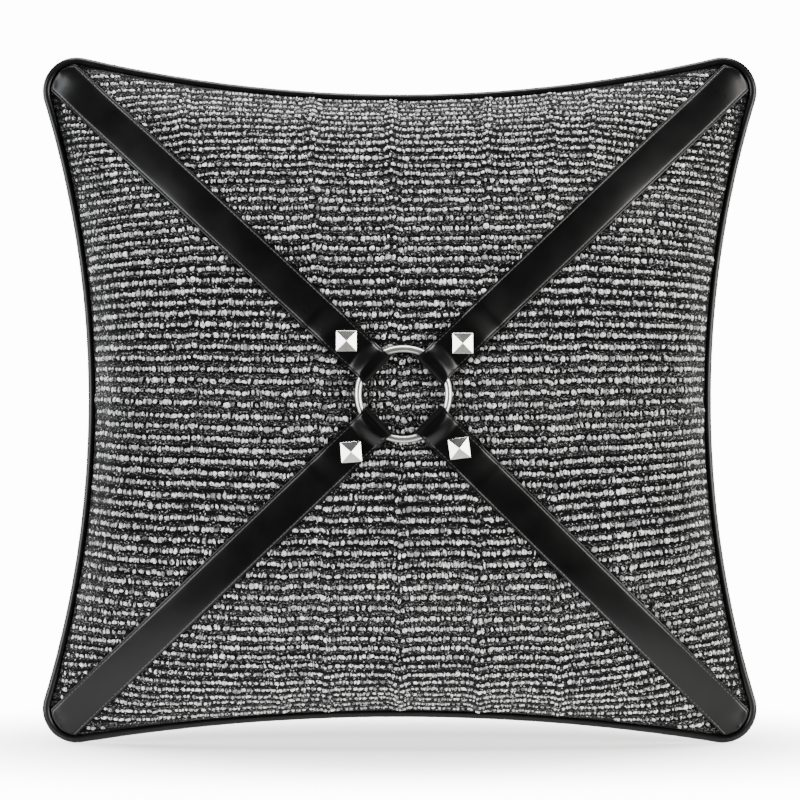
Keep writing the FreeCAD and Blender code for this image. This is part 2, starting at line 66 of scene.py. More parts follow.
# ------------------------------------------------------------------ sizes, in metres
# Places come from the frame; these are the cover's and the leather's own sizes.
WELT_LOW, WELT_HIGH = corners("welt_cover")
WIDTH, HEIGHT = WELT_HIGH[0] - WELT_LOW[0], WELT_HIGH[2] - WELT_LOW[2]
MIDDLE = (WELT_LOW[2] + WELT_HIGH[2]) / 2
WELT_RADIUS = (WELT_HIGH[1] - WELT_LOW[1]) / 2
SEAM = 2 * WELT_RADIUS
UNDER_WELT = 0.0013
HOLLOWS = {"side": 0.032, "top": 0.026, "bottom": 0.018}
CORNER_RADIUS = 0.024
FRONT_CROWN = -corners("front_panel")[0][1]
BACK_CROWN = corners("back_panel_upper")[1][1]

RING_LOW, RING_HIGH = corners("ring")
RING_CENTRE = centre_of("ring")
RING_WIRE = (RING_HIGH[1] - RING_LOW[1]) / 2
RING_RADIUS = (RING_HIGH[0] - RING_LOW[0]) / 2 - RING_WIRE

STRAP_HALF = 0.0125
LEATHER = 0.0011
FOLD_DISTANCE = 0.0231
TAIL_END = 0.066
LEAVES_TAIL, ON_CLOTH = 0.068, 0.081
# Corner signs, distance of the strap's line beside the ring's centre, turn of its stud.
STRAPS = {
    "upper_left": (-1, 1, 0.0, 0.0),
    "upper_right": (1, 1, -0.0010, 0.0),
    "lower_left": (-1, -1, 0.0015, -4.5),
    "lower_right": (1, -1, 0.0, -7.5),
}

CLOTH_HALF = 0.254
GRID = 88
FINER = 3
ROW_PITCH = 0.0081

PULL_JOINT = next(j for j in frame["record"]["behaviour"]["joints"] if j["name"] == "zip_pull_swing")
ZIP_PIVOT = np.array(PULL_JOINT["pos_m"])


# ------------------------------------------------------------------ small helpers

def smooth_step(x, low=0.0, high=1.0):
    t = np.clip((np.asarray(x, float) - low) / (high - low), 0, 1)
    return t * t * (3 - 2 * t)


def add_mesh(name, vertices, faces, material, smooth=True):
    mesh = bpy.data.meshes.new(name)
    mesh.from_pydata(np.asarray(vertices).tolist(), [], [tuple(f) for f in faces])
    mesh.update()
    if smooth:
        mesh.polygons.foreach_set("use_smooth", [True] * len(mesh.polygons))
    piece = bpy.data.objects.new(name, mesh)
    bpy.context.scene.collection.objects.link(piece)
    piece.data.materials.append(material)
    return piece


def outward(piece):
    """Makes the faces of a closed mesh look outwards."""
    edit = bmesh.new()
    edit.from_mesh(piece.data)
    bmesh.ops.recalc_face_normals(edit, faces=edit.faces)
    edit.to_mesh(piece.data)
    edit.free()
    return piece


def add_attribute(piece, name, kind, values):
    layer = piece.data.attributes.new(name, kind, "POINT")
    key = "vector" if kind == "FLOAT_VECTOR" else "value"
    layer.data.foreach_set(key, np.asarray(values, np.float32).ravel())


def bevelled(piece, width, segments=2, angle=0.5):
    bevel = piece.modifiers.new("edges", "BEVEL")
    bevel.width = width
    bevel.segments = segments
    bevel.limit_method = "ANGLE"
    bevel.angle_limit = angle
    return piece


def tube_mesh(path, radius, sides, closed):
    """Vertices and faces of a round tube along path; radius may differ from point to point."""
    path = np.asarray(path, float)
    count = len(path)
    if closed:
        along = np.roll(path, -1, 0) - np.roll(path, 1, 0)
    else:
        along = np.gradient(path, axis=0)
    along /= np.linalg.norm(along, axis=1)[:, None]
    up = np.array([0.0, 1.0, 0.0]) if abs(along[0][1]) < 0.9 else np.array([1.0, 0.0, 0.0])
    rings = []
    radii = np.broadcast_to(radius, (count,))
    for k in range(count):
        up = up - along[k] * up.dot(along[k])
        up /= np.linalg.norm(up)
        side = np.cross(along[k], up)
        turns = np.arange(sides) / sides * 2 * math.pi
        rings.append(path[k] + radii[k] * (np.outer(np.cos(turns), up) + np.outer(np.sin(turns), side)))
    vertices = np.concatenate(rings)
    faces = []
    for k in range(count if closed else count - 1):
        a, b = k * sides, (k + 1) % count * sides
        for j in range(sides):
            n = (j + 1) % sides
            faces.append((a + j, a + n, b + n, b + j))
    if not closed:
        faces.append(tuple(range(sides))[::-1])
        faces.append(tuple((count - 1) * sides + j for j in range(sides)))
    return vertices, faces


# ------------------------------------------------------------------ materials

def new_material(name, **sockets):
    material = bpy.data.materials.new(name)
    material.use_nodes = True
    tree = material.node_tree
    shader = tree.nodes["Principled BSDF"]
    for socket, value in sockets.items():
        shader.inputs[socket.replace("_", " ")].default_value = value
    return material, tree, shader


def node(tree, kind, **settings):
    made = tree.nodes.new(kind)
    for key, value in settings.items():
        if key in made.inputs:
            made.inputs[key].default_value = value
        else:
            setattr(made, key, value)
    return made


def coordinates(tree, attribute=None):
    if attribute:
        return node(tree, "ShaderNodeAttribute", attribute_name=attribute).outputs["Vector"]
    return node(tree, "ShaderNodeTexCoord").outputs["Object"]


def stretched(tree, source, scale):
    mapping = node(tree, "ShaderNodeMapping")
    mapping.inputs["Scale"].default_value = scale
    tree.links.new(source, mapping.inputs["Vector"])
    return mapping.outputs["Vector"]


def noise_value(tree, source, scale, detail=2.0, roughness=0.5):
    texture = node(tree, "ShaderNodeTexNoise", Scale=scale, Detail=detail, Roughness=roughness)
    tree.links.new(source, texture.inputs["Vector"])
    return texture.outputs["Fac"]


def ramp(tree, source, *stops):
    made = node(tree, "ShaderNodeValToRGB")
    elements = made.color_ramp.elements
    while len(elements) < len(stops):
        elements.new(0.5)
    for element, (place, colour) in zip(elements, stops):
        element.position = place
        element.color = (*colour, 1) if len(colour) == 3 else (colour[0],) * 3 + (1,)
    tree.links.new(source, made.inputs["Fac"])
    return made.outputs["Color"]


def math_node(tree, operation, first, second=None):
    made = node(tree, "ShaderNodeMath", operation=operation)
    for socket, value in zip(made.inputs, (first, second)):
        if value is None:
            continue
        if isinstance(value, (int, float)):
            socket.default_value = value
        else:
            tree.links.new(value, socket)
    return made.outputs["Value"]


def mixed(tree, factor, first, second):
    made = node(tree, "ShaderNodeMix", data_type="RGBA")
    for socket, value in ((made.inputs[0], factor), (made.inputs[6], first), (made.inputs[7], second)):
        if isinstance(value, tuple):
            socket.default_value = (*value, 1)
        elif isinstance(value, (int, float)):
            socket.default_value = value
        else:
            tree.links.new(value, socket)
    return made.outputs[2]


def add_bump(tree, shader, height, distance, strength=1.0):
    bump = node(tree, "ShaderNodeBump", Strength=strength, Distance=distance)
    tree.links.new(height, bump.inputs["Height"])
    tree.links.new(bump.outputs["Normal"], shader.inputs["Normal"])


def leather_material(name="black_leather", gloss=0.28):
    material, tree, shader = new_material(name, Specular_IOR_Level=0.16, Coat_Weight=0.10,
                                          Coat_Roughness=0.16)
    place = coordinates(tree)
    cells = node(tree, "ShaderNodeTexVoronoi", Scale=1500.0, feature="F1")
    tree.links.new(place, cells.inputs["Vector"])
    creases = noise_value(tree, place, 420.0, 4.0, 0.6)
    broad = noise_value(tree, place, 45.0, 3.0, 0.55)
    grain = math_node(tree, "ADD", math_node(tree, "MULTIPLY", cells.outputs["Distance"], 0.6), creases)
    add_bump(tree, shader, grain, 0.00006, 0.35)
    colour = mixed(tree, broad, (0.0008, 0.0008, 0.0008), (0.0022, 0.0021, 0.0021))
    tree.links.new(colour, shader.inputs["Base Color"])
    rough = node(tree, "ShaderNodeMapRange")
    rough.inputs["To Min"].default_value = gloss - 0.07
    rough.inputs["To Max"].default_value = gloss + 0.12
    tree.links.new(broad, rough.inputs["Value"])
    tree.links.new(rough.outputs["Result"], shader.inputs["Roughness"])
    return material


def tweed_ground_material():
    """Fine black boucle with grey flecks in low rows between the white yarns."""
    material, tree, shader = new_material("tweed_ground", Roughness=0.95, Sheen_Weight=0.02,
                                          Sheen_Roughness=0.5, Specular_IOR_Level=0.05)
    weave = coordinates(tree, "weave")
    parts = node(tree, "ShaderNodeSeparateXYZ")
    tree.links.new(weave, parts.inputs["Vector"])
    row = math_node(tree, "FRACT", math_node(tree, "DIVIDE", parts.outputs["Y"], ROW_PITCH * 1000))
    between = math_node(tree, "SUBTRACT", 1.0, math_node(
        tree, "ABSOLUTE", math_node(tree, "MULTIPLY", math_node(tree, "SUBTRACT", row, 0.5), 2.0)))
    low_rows = ramp(tree, between, (0.28, (0.0,)), (0.5, (1.0,)), (0.74, (0.55,)), (0.84, (1.0,)))
    flecks = noise_value(tree, stretched(tree, weave, (0.62, 0.95, 1)), 1.0, 2.5, 0.7)
    lit = ramp(tree, flecks, (0.53, (0.0,)), (0.6, (1.0,)))
    shade = noise_value(tree, weave, 0.35, 2.0)
    grey = mixed(tree, shade, (0.03, 0.03, 0.031), (0.24, 0.238, 0.235))
    amount = math_node(tree, "MULTIPLY", low_rows, lit)
    colour = mixed(tree, amount, (0.0025, 0.0025, 0.0027), grey)
    tree.links.new(colour, shader.inputs["Base Color"])
    threads = noise_value(tree, stretched(tree, weave, (1.0, 0.8, 1)), 1.6, 3.0, 0.65)
    add_bump(tree, shader, math_node(tree, "ADD", threads, math_node(tree, "MULTIPLY", lit, 0.6)),
             0.0006, 0.9)
    return material


def yarn_material():
    """Soft white roving; tone gives each float of yarn its own shade."""
    material, tree, shader = new_material("white_yarn", Roughness=0.88, Sheen_Weight=0.15,
                                          Sheen_Roughness=0.4, Specular_IOR_Level=0.15)
    tone = node(tree, "ShaderNodeAttribute", attribute_name="tone").outputs["Fac"]
    place = coordinates(tree)
    fibres = noise_value(tree, place, 1900.0, 3.0, 0.6)
    base = ramp(tree, tone, (0.0, (0.07, 0.07, 0.072)), (0.45, (0.42, 0.42, 0.42)),
                (1.0, (0.97, 0.965, 0.955)))
    crossing = noise_value(tree, stretched(tree, place, (1.0, 1.0, 0.45)), 900.0, 2.0, 0.55)
    dark = mixed(tree, ramp(tree, crossing, (0.41, (0.0,)), (0.46, (1.0,))),
                 (0.05, 0.05, 0.05), ramp(tree, fibres, (0.32, (0.45,)), (0.56, (1.0,))))
    mix = node(tree, "ShaderNodeMix", data_type="RGBA", blend_type="MULTIPLY")
    mix.inputs[0].default_value = 1.0
    tree.links.new(base, mix.inputs[6])
    tree.links.new(dark, mix.inputs[7])
    tree.links.new(mix.outputs[2], shader.inputs["Base Color"])
    add_bump(tree, shader, fibres, 0.0004, 0.8)
    return material


def loop_material():
    """Fine grey to black boucle loops."""
    material, tree, shader = new_material("grey_loops", Roughness=0.9, Sheen_Weight=0.02,
                                          Sheen_Roughness=0.5, Specular_IOR_Level=0.08)
    tone = node(tree, "ShaderNodeAttribute", attribute_name="tone").outputs["Fac"]
    place = coordinates(tree)
    fibres = noise_value(tree, place, 1500.0, 2.0)
    base = ramp(tree, tone, (0.0, (0.003, 0.003, 0.0032)), (1.0, (0.66, 0.655, 0.65)))
    shade = ramp(tree, fibres, (0.4, (0.0,)), (0.6, (1.0,)))
    tree.links.new(mixed(tree, shade, base, (0.004, 0.004, 0.0043)), shader.inputs["Base Color"])
    add_bump(tree, shader, fibres, 0.0002, 0.7)
    return material


def wave_value(tree, vector, scale, distortion, direction):
    wave = node(tree, "ShaderNodeTexWave", Scale=scale, Distortion=distortion,
                bands_direction=direction)
    tree.links.new(vector, wave.inputs["Vector"])
    return wave.outputs["Fac"]


def back_cloth_material():
    """Plain black cotton with a fine square weave."""
    material, tree, shader = new_material("black_back_cloth", Roughness=0.9, Sheen_Weight=0.2,
                                          Sheen_Roughness=0.45, Specular_IOR_Level=0.25)
    weave = coordinates(tree, "weave")
    waves = [wave_value(tree, weave, 0.42, 0.6, direction) for direction in ("X", "Y")]
    cross = math_node(tree, "MULTIPLY", *waves)
    slubs = noise_value(tree, stretched(tree, weave, (0.04, 1.2, 1)), 1.0, 3.0, 0.6)
    wear = noise_value(tree, weave, 0.02, 4.0, 0.55)
    thread = mixed(tree, slubs, (0.014, 0.014, 0.015), (0.048, 0.048, 0.050))
    colour = mixed(tree, math_node(tree, "MULTIPLY", wear, 0.6), thread, (0.062, 0.062, 0.066))
    tree.links.new(mixed(tree, math_node(tree, "MULTIPLY", cross, 0.5), (0.007, 0.007, 0.008), colour),
                   shader.inputs["Base Color"])
    add_bump(tree, shader, math_node(tree, "ADD", cross, slubs), 0.0003, 0.9)
    return material


def nickel_material(name="polished_nickel", low=0.2, high=0.32):
    material, tree, shader = new_material(name, Metallic=1.0)
    place = coordinates(tree)
    smears = noise_value(tree, place, 130.0, 4.0, 0.6)
    colour = mixed(tree, smears, (0.46, 0.455, 0.43), (0.58, 0.575, 0.55))
    tree.links.new(colour, shader.inputs["Base Color"])
    rough = node(tree, "ShaderNodeMapRange")
    rough.inputs["To Min"].default_value = low
    rough.inputs["To Max"].default_value = high
    tree.links.new(smears, rough.inputs["Value"])
    tree.links.new(rough.outputs["Result"], shader.inputs["Roughness"])
    scratches = noise_value(tree, stretched(tree, place, (1, 1, 0.15)), 2600.0, 2.0)
    add_bump(tree, shader, scratches, 0.000001, 0.1)
    return material


def lacquered_metal_material():
    material, tree, shader = new_material("black_lacquered_zinc", Metallic=0.6, Coat_Weight=0.4,
                                          Coat_Roughness=0.2)
    place = coordinates(tree)
    worn = noise_value(tree, place, 500.0, 4.0, 0.6)
    colour = ramp(tree, worn, (0.55, (0.018, 0.018, 0.02)), (0.75, (0.10, 0.10, 0.10)))
    tree.links.new(colour, shader.inputs["Base Color"])
    tree.links.new(ramp(tree, worn, (0.3, (0.3,)), (0.8, (0.5,))), shader.inputs["Roughness"])
    add_bump(tree, shader, worn, 0.00003, 0.4)
    return material


def tape_material():
    material, tree, shader = new_material("zip_tape_weave", Roughness=0.85, Sheen_Weight=0.15,
                                          Specular_IOR_Level=0.3)
    place = coordinates(tree)
    wave = wave_value(tree, place, 320.0, 1.0, "X")
    fine = noise_value(tree, place, 900.0)
    colour = mixed(tree, math_node(tree, "MULTIPLY", wave, fine),
                   (0.010, 0.010, 0.011), (0.06, 0.06, 0.063))
    tree.links.new(colour, shader.inputs["Base Color"])
    add_bump(tree, shader, wave, 0.0001, 0.7)
    return material


def nylon_material():
    material, tree, shader = new_material("black_nylon", Specular_IOR_Level=0.5)
    place = coordinates(tree)
    fine = noise_value(tree, place, 700.0, 3.0)
    tree.links.new(mixed(tree, fine, (0.010, 0.010, 0.011), (0.028, 0.028, 0.030)),
                   shader.inputs["Base Color"])
    tree.links.new(ramp(tree, fine, (0.3, (0.26,)), (0.7, (0.42,))), shader.inputs["Roughness"])
    add_bump(tree, shader, fine, 0.00003, 0.4)
    return material


def thread_material():
    material, tree, shader = new_material("waxed_thread", Roughness=0.55, Sheen_Weight=0.1)
    place = coordinates(tree)
    twist = wave_value(tree, place, 900.0, 0.5, "DIAGONAL")
    tree.links.new(mixed(tree, twist, (0.012, 0.012, 0.012), (0.045, 0.044, 0.043)),
                   shader.inputs["Base Color"])
    add_bump(tree, shader, twist, 0.0001, 0.6)
    return material


def ticking_material():
    material, tree, shader = new_material("insert_ticking", Roughness=0.9, Sheen_Weight=0.1)
    place = coordinates(tree)
    fine = noise_value(tree, place, 1200.0, 3.0)
    tree.links.new(mixed(tree, fine, (0.62, 0.61, 0.58), (0.82, 0.81, 0.78)),
                   shader.inputs["Base Color"])
    add_bump(tree, shader, fine, 0.0001, 0.5)
    return material


def cord_material():
    """Twisted undyed cotton."""
    material, tree, shader = new_material("twisted_cotton_cord", Roughness=0.9, Sheen_Weight=0.1)
    place = coordinates(tree)
    twist = wave_value(tree, place, 260.0, 0.8, "DIAGONAL")
    fibres = noise_value(tree, place, 1600.0, 3.0)
    tree.links.new(mixed(tree, math_node(tree, "MULTIPLY", twist, fibres),
                         (0.36, 0.33, 0.28), (0.74, 0.70, 0.62)), shader.inputs["Base Color"])
    add_bump(tree, shader, twist, 0.0004, 0.8)
    return material


LEATHER_BLACK = leather_material()
WELT_LEATHER = leather_material("black_welt_leather", 0.36)
TWEED_GROUND = tweed_ground_material()
WHITE_YARN = yarn_material()
GREY_LOOPS = loop_material()
BACK_CLOTH = back_cloth_material()
NICKEL = nickel_material()
RING_NICKEL = nickel_material("polished_nickel_ring", 0.3, 0.4)
ZINC = lacquered_metal_material()
TAPE = tape_material()
NYLON = nylon_material()
THREAD = thread_material()
TICKING = ticking_material()
COTTON_CORD = cord_material()
BACKING_STEEL = nickel_material("plated_backing_steel", 0.38, 0.55)


# ------------------------------------------------------------------ seam outline

def half_side(middle, centre_along, centre_across, radius, count=60):
    """Points of one side's upper half, from its middle to the corner's 45 degree point."""
    step = middle - centre_along
    long_radius = (step ** 2 + centre_across ** 2 - radius ** 2) / (2 * (radius - step))
    centre = middle + long_radius
    reach = math.copysign(radius, long_radius) / math.hypot(centre_along - centre, centre_across)
    touch = (centre_along - reach * (centre_along - centre), centre_across * (1 - reach))
    sweep = math.asin(touch[1] / abs(long_radius))
    turns = np.linspace(0, sweep, count)
    long_arc = np.stack([centre - long_radius * np.cos(turns), abs(long_radius) * np.sin(turns)], 1)
    start = math.atan2(touch[1] - centre_across, touch[0] - centre_along)
    turns = np.linspace(start, math.pi / 4, count)
    corner = np.stack([centre_along + radius * np.cos(turns), centre_across + radius * np.sin(turns)], 1)
    return np.concatenate([long_arc, corner[1:]])


def side_points(middle, centre_along, centre_across, radius, count):
    """count points evenly spaced along one whole side."""
    upper = half_side(middle, centre_along, centre_across, radius)
    whole = np.concatenate([(upper * (1, -1))[::-1], upper[1:]])
    length = np.concatenate([[0], np.cumsum(np.linalg.norm(np.diff(whole, axis=0), axis=1))])
    wanted = np.linspace(0, length[-1], count)
    return np.stack([np.interp(wanted, length, whole[:, 0]), np.interp(wanted, length, whole[:, 1])], 1)


def outline_sides(inset, count):
    """The four sides of the outline moved inwards by inset, as points (x, z) from low to high."""
    radius = CORNER_RADIUS - inset
    across = WIDTH / 2 - CORNER_RADIUS
    upright = HEIGHT / 2 - CORNER_RADIUS
    side = side_points(WIDTH / 2 - inset - HOLLOWS["side"], across, upright, radius, count)
    top = side_points(HEIGHT / 2 - inset - HOLLOWS["top"], upright, across, radius, count)
    bottom = side_points(HEIGHT / 2 - inset - HOLLOWS["bottom"], upright, across, radius, count)
    shift = np.array([0, MIDDLE])
    return {
        "right": side + shift,
        "left": side * (-1, 1) + shift,
        "top": top[:, ::-1] + shift,
        "bottom": bottom[:, ::-1] * (1, -1) + shift,
    }


# ------------------------------------------------------------------ the filled cover, by cloth simulation

def flat_point(u, v):
    """A point of the flat cover; its square corners are rounded."""
    round_off = 0.022
    half = CLOTH_HALF * max(abs(u), abs(v))
    radius = round_off * max(abs(u), abs(v))
    x, z = u * CLOTH_HALF, v * CLOTH_HALF
    straight = half - radius
    if abs(x) > straight and abs(z) > straight and radius > 0:
        if abs(x) >= abs(z):
            turn = (abs(z) - straight) / radius * math.pi / 4
        else:
            turn = math.pi / 2 - (abs(x) - straight) / radius * math.pi / 4
        x = math.copysign(straight + radius * math.cos(turn), x)
        z = math.copysign(straight + radius * math.sin(turn), z)
    return x, z


def simulate_cover():
    """Two flat panels sewn at the rim and blown up; returns both as grids of points."""
    steps = np.linspace(-1, 1, GRID + 1)
    index, start, flat, faces = {}, [], [], []

    def vertex(side, i, j):
        rim = i in (0, GRID) or j in (0, GRID)
        key = (0 if rim else side, i, j)
        if key not in index:
            x, z = flat_point(steps[i], steps[j])
            lift = 0.0 if rim else 0.0005 + 0.03 * math.sqrt((1 - steps[i] ** 2) * (1 - steps[j] ** 2))
            index[key] = len(start)
            start.append((0.98 * x, side * lift, 0.98 * z))
            flat.append((x, 0.0, z))
        return index[key]

    for side in (-1, 1):
        for i in range(GRID):
            for j in range(GRID):
                quad = [vertex(side, i, j), vertex(side, i + 1, j),
                        vertex(side, i + 1, j + 1), vertex(side, i, j + 1)]
                faces.append(quad if side == -1 else quad[::-1])
    cover = add_mesh("cover_cloth", start, faces, TICKING)
    cover.shape_key_add(name="start")
    rest = cover.shape_key_add(name="flat")
    rest.data.foreach_set("co", np.array(flat, np.float32).ravel())
    cloth = cover.modifiers.new("inflate", "CLOTH")
    settings = cloth.settings
    settings.rest_shape_key = rest
    settings.quality = 6
    settings.mass = 0.2
    settings.tension_stiffness, settings.compression_stiffness = 60, 20
    settings.shear_stiffness, settings.bending_stiffness = 10, 0.5
    settings.tension_damping = settings.compression_damping = 10
    settings.shear_damping, settings.bending_damping = 8, 1.0
    settings.air_damping = 4
    settings.use_pressure = settings.use_pressure_volume = True
    settings.uniform_pressure_force = 8
    settings.target_volume = 0.018
    settings.effector_weights.gravity = 0
    cloth.collision_settings.use_collision = cloth.collision_settings.use_self_collision = False
    last = 9
    cloth.point_cache.frame_start, cloth.point_cache.frame_end = 1, last
    scene = bpy.context.scene
    for number in range(1, last + 1):
        scene.frame_set(number)
    blown = cover.evaluated_get(bpy.context.evaluated_depsgraph_get()).to_mesh()
    points = np.empty(3 * len(blown.vertices))
    blown.vertices.foreach_get("co", points)
    points = points.reshape(-1, 3)
    scene.frame_set(1)
    grids = []
    for side in (-1, 1):
        grid = np.empty((GRID + 1, GRID + 1, 3))
        for i in range(GRID + 1):
            for j in range(GRID + 1):
                rim = i in (0, GRID) or j in (0, GRID)
                grid[i, j] = points[index[(0 if rim else side, i, j)]]
        grids.append(grid)
    mesh = cover.data
    bpy.data.objects.remove(cover)
    bpy.data.meshes.remove(mesh)
    return grids


def finer(grid, factor):
    """The grid with factor times as many cells, by Catmull-Rom curves both ways."""
    for axis in (0, 1):
        moved = np.moveaxis(grid, axis, 0)
        padded = np.concatenate([2 * moved[:1] - moved[1:2], moved, 2 * moved[-1:] - moved[-2:-1]])
        rows = []
        for k in range(len(moved) - 1):
            p0, p1, p2, p3 = padded[k], padded[k + 1], padded[k + 2], padded[k + 3]
            for step in range(factor):
                t = step / factor
                rows.append(0.5 * (2 * p1 + (p2 - p0) * t + (2 * p0 - 5 * p1 + 4 * p2 - p3) * t ** 2
                                   + (3 * p1 - p0 - 3 * p2 + p3) * t ** 3))
        rows.append(moved[-1])
        grid = np.moveaxis(np.array(rows), 0, axis)
    return grid


def fit_to_seam(grid):
    """Moves the rim onto the seam of the frame and carries the inside along smoothly."""
    count = grid.shape[0]
    sides = outline_sides(SEAM - UNDER_WELT, count)
    target = {key: np.stack([points[:, 0], np.zeros(count), points[:, 1]], 1)
              for key, points in sides.items()}
    low, high = target["bottom"] - grid[:, 0], target["top"] - grid[:, -1]
    left, right = target["left"] - grid[0], target["right"] - grid[-1]
    t = np.linspace(0, 1, count)
    u, v = t[:, None, None], t[None, :, None]
    across = (1 - u) * left[None] + u * right[None]
    upright = (1 - v) * low[:, None] + v * high[:, None]
    corner = ((1 - u) * (1 - v) * low[0] + u * (1 - v) * low[-1]
              + (1 - u) * v * high[0] + u * v * high[-1])
    return grid + across + upright - corner


def puckers(grid, facing, seed):
    """Short gathers that run in from the seam, and the soft lumps of a filled pillow."""
    count = grid.shape[0]
    t = np.linspace(-1, 1, count)
    push = np.zeros((count, count))
    for i in range(count):
        for j in range(count):
            u, v = t[i], t[j]
            x, z = u * CLOTH_HALF, v * CLOTH_HALF
            total = 0.0
            for near, along, depth in (
                (1 - v, x, 1.3), (1 + v, x + 3.1, 1.3), (1 - u, z + 7.7, 0.8), (1 + u, z + 5.3, 0.8),
            ):
                reach = near * CLOTH_HALF
                if reach < 0.09:
                    wave = noise.noise(Vector((along * 42, seed, reach * 6)))
                    fold = noise.noise(Vector((along * 95, seed + 9, reach * 10)))
                    total += depth * (1.6 * wave + 0.35 * fold) * math.exp(-reach / 0.024)
            lumps = noise.noise(Vector((x * 11, z * 11, seed))) + 0.5 * noise.noise(
                Vector((x * 26, z * 26, seed + 4)))
            rim = min(1 - abs(u), 1 - abs(v))
            fade = min(1.0, rim * 14)
            push[i, j] = (total + 1.1 * lumps * min(1.0, rim * 4)) * fade * 0.001
    grid = grid.copy()
    grid[..., 1] += facing * push
    return grid


def eased(grid, passes):
    """Takes the finest creases out of the cloth; the rim stays where it is."""
    grid = grid.copy()
    for _ in range(passes):
        around = grid[:-2, 1:-1] + grid[2:, 1:-1] + grid[1:-1, :-2] + grid[1:-1, 2:]
        grid[1:-1, 1:-1] = 0.5 * grid[1:-1, 1:-1] + 0.125 * around
    return grid


def shaped_panels():
    front, back = (finer(eased(grid, 14), FINER) for grid in simulate_cover())
    front, back = fit_to_seam(front), fit_to_seam(back)
    front = puckers(front, -1, 2.0)
    back = puckers(back, 1, 11.0)
    front[..., 1] *= (FRONT_CROWN - 0.0006) / -front[..., 1].min()
    back[..., 1] *= (BACK_CROWN - 0.0006) / back[..., 1].max()
    return front, back


FRONT, BACK = shaped_panels()
COUNT = FRONT.shape[0]
PARAM = np.linspace(-CLOTH_HALF, CLOTH_HALF, COUNT)
# The middle stays nearly flat where ring, tails and studs lie on it.
around = np.hypot(FRONT[..., 0] - RING_CENTRE[0], FRONT[..., 2] - RING_CENTRE[2])
calm = 1 - smooth_step(around, 0.062, 0.105)
FRONT[..., 1] += calm * ((-FRONT_CROWN + 0.0007) - FRONT[..., 1])
around = np.hypot(BACK[..., 0], BACK[..., 2] - MIDDLE)
calm = 0.85 * (1 - smooth_step(around, 0.05, 0.1))
BACK[..., 1] += calm * ((BACK_CROWN - 0.0005) - BACK[..., 1])


# ------------------------------------------------------------------ how each strap lies

class StrapLine:
    """A strap's own axes: along from the ring's centre to its corner, across it, and its cloth."""

    def __init__(self, name):
        sign_x, sign_z, aside, turn = STRAPS[name]
        self.name, self.turn = name, turn
        reach = (CORNER_RADIUS - SEAM) / math.sqrt(2)
        self.corner = np.array([sign_x * (WIDTH / 2 - CORNER_RADIUS),
                                MIDDLE + sign_z * (HEIGHT / 2 - CORNER_RADIUS)])
        tip = self.corner + reach * np.array([sign_x, sign_z])
        ring = np.array([RING_CENTRE[0], RING_CENTRE[2]])
        away = tip - ring
        angle = math.atan2(away[1], away[0]) - math.asin(aside / np.linalg.norm(away))
        self.along = np.array([math.cos(angle), math.sin(angle)])
        self.across = np.array([-math.sin(angle), math.cos(angle)])
        self.start = ring + aside * self.across
        self.aside = aside
        self.length = float((tip - self.start) @ self.along)

    def place(self, a, b):
        """(x, z) of the point at a along and b across."""
        a, b = np.asarray(a, float)[..., None], np.asarray(b, float)[..., None]
        return self.start + a * self.along + b * self.across

    def local(self, x, z):
        rel = np.stack([x - self.start[0], z - self.start[1]], -1)
        return rel @ self.along, rel @ self.across

    def half_width(self, a):
        """Full width, rounded off at the corner like the seam."""
        centre = float((self.corner - self.start) @ self.along)
        radius = CORNER_RADIUS - SEAM - 0.0002
        past = np.clip(np.asarray(a, float) - centre, 0, radius)
        return np.minimum(STRAP_HALF, np.sqrt(np.maximum(radius ** 2 - past ** 2, 1e-10)))


def grid_faces(count_i, count_j, base=0, flip=False):
    faces = []
    for i in range(count_i - 1):
        for j in range(count_j - 1):
            a = base + i * count_j + j
            quad = (a, a + count_j, a + count_j + 1, a + 1)
            faces.append(quad[::-1] if flip else quad)
    return faces


def surface_tree(grid):
    return BVHTree.FromPolygons([Vector(p) for p in grid.reshape(-1, 3)],
                                grid_faces(*grid.shape[:2]))


def heights(tree, places, fallback):
    """Y of the front cloth at each (x, z)."""
    result = np.full(places.shape[:-1], np.nan)
    for where in np.ndindex(result.shape):
        x, z = places[where]
        hit = tree.ray_cast(Vector((x, -0.5, z)), Vector((0, 1, 0)))[0]
        result[where] = hit.y if hit is not None else fallback
    return result


def blurred(values, passes, axis):
    for _ in range(passes):
        edge = [(1, 1) if k == axis else (0, 0) for k in range(values.ndim)]
        wide = np.pad(values, edge, mode="edge")
        first = np.take(wide, range(0, values.shape[axis]), axis)
        last = np.take(wide, range(2, values.shape[axis] + 2), axis)
        values = 0.25 * first + 0.5 * values + 0.25 * last
    return values


STRAP_LINES = [StrapLine(name) for name in STRAPS]
BED_B = np.linspace(-1, 1, 9)


